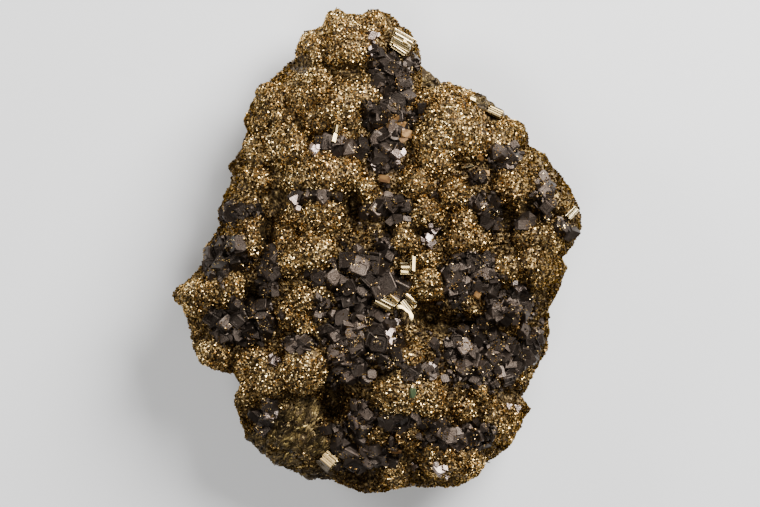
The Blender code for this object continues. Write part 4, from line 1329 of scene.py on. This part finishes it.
# %% Their finish and how they lie
def splinter_finish():
    """Splinters: dark olive brown to tan by the splinter, mostly metallic."""
    material, tree, shader = new_material("broken slab", 0.75, 0.42)
    shader.inputs["Specular IOR Level"].default_value = 0.15
    face = ramp(tree, tone_of(tree), [
        (0.0, (0.02, 0.014, 0.008)), (0.5, (0.13, 0.088, 0.032)), (0.85, (0.38, 0.27, 0.095)),
        (1.0, (0.66, 0.5, 0.2)),
    ])
    tree.links.new(face, shader.inputs["Base Color"])
    return material


def laid_along(facing, direction, maker, spread_by):
    """Matrices whose first axis runs near a direction and whose third axis is the surface's own."""
    first = direction + maker.normal(0, spread_by, facing.shape)
    first = unit(first - facing * (first * facing).sum(axis=1, keepdims=True))
    return np.stack([first, np.cross(facing, first), facing], axis=-1)


SPLINTER = splinter_finish()
print("finish:", SPLINTER.name)

# %% Splinters
SPLINTERS = 6000
SPLINTER_SIZE = (0.95, 0.34, 0.24)  # half its length, width and thickness
SPLIT_ALONG = unit(np.array([0.62, 0.78, 0.0]))
SPLIT_STRAY = 0.35
LOWEST_SPLINTER = 1.9  # millimetres above the back
CLOUD_CELL = 5.0
maker = np.random.default_rng(17)
low_wall = on_wall * np.clip((RIM_HEIGHT - skin_middles[:, 2]) / 8, 0, 1)
low_wall = low_wall * (skin_middles[:, 2] > LOWEST_SPLINTER)
places, facing = strewn(SPLINTERS, np.clip(in_broken * 4, 0, 1) * 2 * ~on_wall + 0.8 * low_wall, maker)
size = maker.uniform(0.6, 1.5, SPLINTERS)
template = octahedra(SPLINTERS) * np.array(SPLINTER_SIZE)
splinters = set_out(template, 2 * size, laid_along(facing, SPLIT_ALONG, maker, SPLIT_STRAY), places)
cloud = np.clip(1.5 - 1.8 * nearest_seed(places, CLOUD_CELL, 91.0), 0.08, 1)
tone = np.repeat(maker.beta(1.1, 1.7, SPLINTERS) * cloud, len(OCTAHEDRON))
splinter_mesh = joined(splinters, OCTAHEDRON_TRIANGLES)
add_piece("slab_splinters", *splinter_mesh, SPLINTER, "druse", tone)

# %% [markdown]
# Galena crumbs
#
# Between the galena crystals lie broken bits of them, about a millimetre across, which make the
# patches uneven. They are octahedra too, each pulled well out of square its own way, and they
# stick out of the skin by a varying amount.

# %% Crumbs
CRUMBS = 4000
CRUMB_SKEW = 0.25
maker = np.random.default_rng(31)
places, facing = strewn(CRUMBS, galena_weight, maker)
width = maker.uniform(0.6, 1.5, CRUMBS)
template = skewed(octahedra(CRUMBS), CRUMB_SKEW, maker)
turn = random_turns(CRUMBS, maker)
middle = places + facing * maker.uniform(0.2, 1.3, CRUMBS)[:, None]
crumbs = joined(set_out(template, width, turn, middle), OCTAHEDRON_TRIANGLES)
tone = np.repeat(maker.beta(1.0, 2.2, CRUMBS), len(OCTAHEDRON))
add_piece("galena_crumbs", *crumbs, GALENA_GREY, "galena", tone)

# %% [markdown]
# Gold dust on the galena
#
# The pyrite came last, so flecks of it sit on the galena too, in clusters. They are strewn over
# the upward faces of the crystals just made, near the seeds of a coarse set of cells.

# %% Dust
DUST = 11000
DUST_CELL = 3.2  # millimetres between clusters
DUST_REACH = 0.48  # how far from its seed a cluster goes, in cell sizes
FACES_UP = 0.1
galena_points, galena_triangles = merged(dusted)
corner = galena_points[galena_triangles]
cross = np.cross(corner[:, 1] - corner[:, 0], corner[:, 2] - corner[:, 0])
area = np.linalg.norm(cross, axis=-1)
chance = area * (cross[:, 2] > FACES_UP * area)
maker = np.random.default_rng(13)
chosen = maker.choice(len(chance), 3 * DUST, p=chance / chance.sum())
share = maker.dirichlet((1, 1, 1), len(chosen))
places = np.einsum("nk,nkj->nj", share, corner[chosen])
places = places[nearest_seed(places, DUST_CELL, 55.0) < DUST_REACH][:DUST]
count = len(places)
width = maker.uniform(0.3, 0.55, count)
flecks = set_out(octahedra(count), width, random_turns(count, maker), places)
tone = np.repeat(maker.beta(1.6, 1.3, count), len(OCTAHEDRON))
add_piece("gold_dust", *joined(flecks, OCTAHEDRON_TRIANGLES), DRUSE, "druse", tone)

# %% [markdown]
# The druse
#
# Pyrite grains are octahedra, most about half a millimetre from corner to corner and a few as
# large as one, each turned its own way and sunk nearly by half into the skin. There are tens of
# thousands, so each has only its eight triangles, and they are joined in four pieces. A tone is
# drawn for each grain. It is less in the brown patches and on broken slab, and it carries painted
# light and shade: more to the left, less towards the far right, and less low in the hollows.

# %% Where and how dark the grains are
GRAINS = 62000
GRAIN_PIECES = 4
GRAIN_LIFT = 0.1  # as a share of the width
BROWN_BY = 0.45
RIGHT_SHADE_FROM = 16  # painted shade: grains right of here are darker
RIGHT_SHADE_OVER = 36
HOLLOW_SHADE_REACH = 2.2  # millimetres up a lump where the painted shade of the hollows ends and grains are at their brightest
DULL_ON_BROKEN = 0.55
on_front = np.clip(1 - in_galena, 0.7, 1) * np.clip(1 - in_broken * 4, 0.04, 1) * (1 - 0.97 * in_pit)
down_wall = np.clip((skin_middles[:, 2] - 6) / 14, 0.0, 1.0) ** 1.5
grain_weight = np.where(on_wall, 0.8 * down_wall, on_front)
grain_weight = grain_weight * (skin_middles[:, 2] > 1.0) * np.where(clear, 1.0, 0.3)


def coat_brightness(places):
    """Two shares of the druse's tone at each place: by region, painted light to the left and painted
    shade to the right, and by height on a lump, painted shade in the hollows.
    """
    brown = BROWN_BY * np.clip(2 * within(places, BROWN_PATCHES), 0, 1)
    # Painted light and shade by side: the tone is raised to the left and lowered towards the far right.
    painted_right_shade = np.maximum(places[:, 0] - RIGHT_SHADE_FROM, 0) / RIGHT_SHADE_OVER
    painted_side_light_and_brown = np.clip(1.25 - painted_right_shade, 0.55, 1.25) * (1 - brown)
    # Painted shade: the tone is less low on a lump, in the hollows; broken slab is duller as well.
    raised = 0.35 + 0.65 * np.clip(lump_rise(places[:, 0], places[:, 1]) / HOLLOW_SHADE_REACH, 0, 1)
    raised = raised * np.where(within(places, BROKEN_PATCHES) > 0, DULL_ON_BROKEN, 1.0)
    return painted_side_light_and_brown, raised


print("area of druse:", int((skin_area * grain_weight).sum()), "square millimetres")

# %% Grains
maker = np.random.default_rng(11)
for part in range(GRAIN_PIECES):
    count = GRAINS // GRAIN_PIECES
    places, facing = strewn(count, grain_weight, maker)
    width = 0.44 + 0.40 * maker.beta(1.4, 3.0, count) + 0.30 * (maker.random(count) < 0.04)
    middle = places + facing * (width * GRAIN_LIFT)[:, None]
    grains = set_out(octahedra(count), width, random_turns(count, maker), middle)
    painted_side_light_and_brown, raised = coat_brightness(places)
    # The tone carries the painted light and shade worked out above.
    tone = np.clip(maker.beta(0.75, 0.9, count) * 1.1 * painted_side_light_and_brown * raised, 0, 1)
    tone = np.repeat(tone, len(OCTAHEDRON))
    add_piece(f"druse_grains_{part + 1}", *joined(grains, OCTAHEDRON_TRIANGLES), DRUSE, "druse", tone)

# %% [markdown]
# Floor, lights and camera
#
# The specimen lies on a pale floor and the camera looks straight down on it, from a metre and a
# half, so that the high crystals hardly lean outwards. Metals show what they mirror. In one
# large soft box every grain would shine, and under a point none would, so the lights are discs
# of middling size: the main one beyond the upper right, a weak one at the left, and one
# overhead to fill. A dim, warm world keeps the shadows from going black.

# %% The floor
FLOOR_REACH = 1  # metres to each side
floor_material, _, floor_shader = new_material("floor", 0.0, 0.6)
floor_shader.inputs["Base Color"].default_value = (0.80, 0.80, 0.80, 1.0)
floor_corners = [(x * FLOOR_REACH, y * FLOOR_REACH, 0) for x, y in ((-1, -1), (1, -1), (1, 1), (-1, 1))]
floor_mesh = bpy.data.meshes.new("floor")
floor_mesh.from_pydata(floor_corners, [], [(0, 1, 2, 3)])
floor_mesh.materials.append(floor_material)
floor = bpy.data.objects.new("floor", floor_mesh)
bpy.context.scene.collection.objects.link(floor)
print("floor:", 2 * FLOOR_REACH, "metres wide")

# %% The lights, each a place and a width in metres, and watts
LIGHTS = {
    "main": (tuple(KEY_LIGHT), 0.45, 14.0),
    "left": ((-0.5, 0.20, 0.30), 0.20, 2.0),
    "over": ((-0.06, -0.20, 0.66), 0.30, 2.0),
}
AIM = np.array([0.0, 0.0, 0.015])
WORLD_COLOUR = (1.0, 0.97, 0.92, 1.0)
WORLD_STRENGTH = 0.07
for name, (place, width, watts) in LIGHTS.items():
    lamp = bpy.data.lights.new(name, "AREA")
    lamp.shape = "DISK"
    lamp.size = width
    lamp.energy = watts
    holder = bpy.data.objects.new(name, lamp)
    holder.location = place
    holder.rotation_euler = Vector(AIM - np.array(place)).to_track_quat("-Z", "Y").to_euler()
    bpy.context.scene.collection.objects.link(holder)
world = bpy.data.worlds.new("studio")
world.use_nodes = True
background = world.node_tree.nodes["Background"]
background.inputs["Color"].default_value = WORLD_COLOUR
background.inputs["Strength"].default_value = WORLD_STRENGTH
bpy.context.scene.world = world
print("lights:", len(LIGHTS))

# %% The camera, with lengths in metres
CAMERA_AT = (0.000575, -0.00065, 1.50)
SEEN_PLANE = 0.020  # the height at which the picture is as wide as the next value
SEEN_WIDTH = 0.190
camera_data = bpy.data.cameras.new("camera")
camera_data.sensor_fit = "HORIZONTAL"
camera_data.angle = 2 * math.atan(SEEN_WIDTH / 2 / (CAMERA_AT[2] - SEEN_PLANE))
camera = bpy.data.objects.new("camera", camera_data)
camera.location = CAMERA_AT
bpy.context.scene.collection.objects.link(camera)
bpy.context.scene.camera = camera
print("camera's field of view:", round(math.degrees(camera_data.angle), 2), "degrees")

# %% [markdown]
# What was made
#
# The triangles of all the dressed pieces are counted, and the sum is printed.

# %% Count and finish
print("triangles:", sum(count for _, count in made), "in", len(made), "pieces")
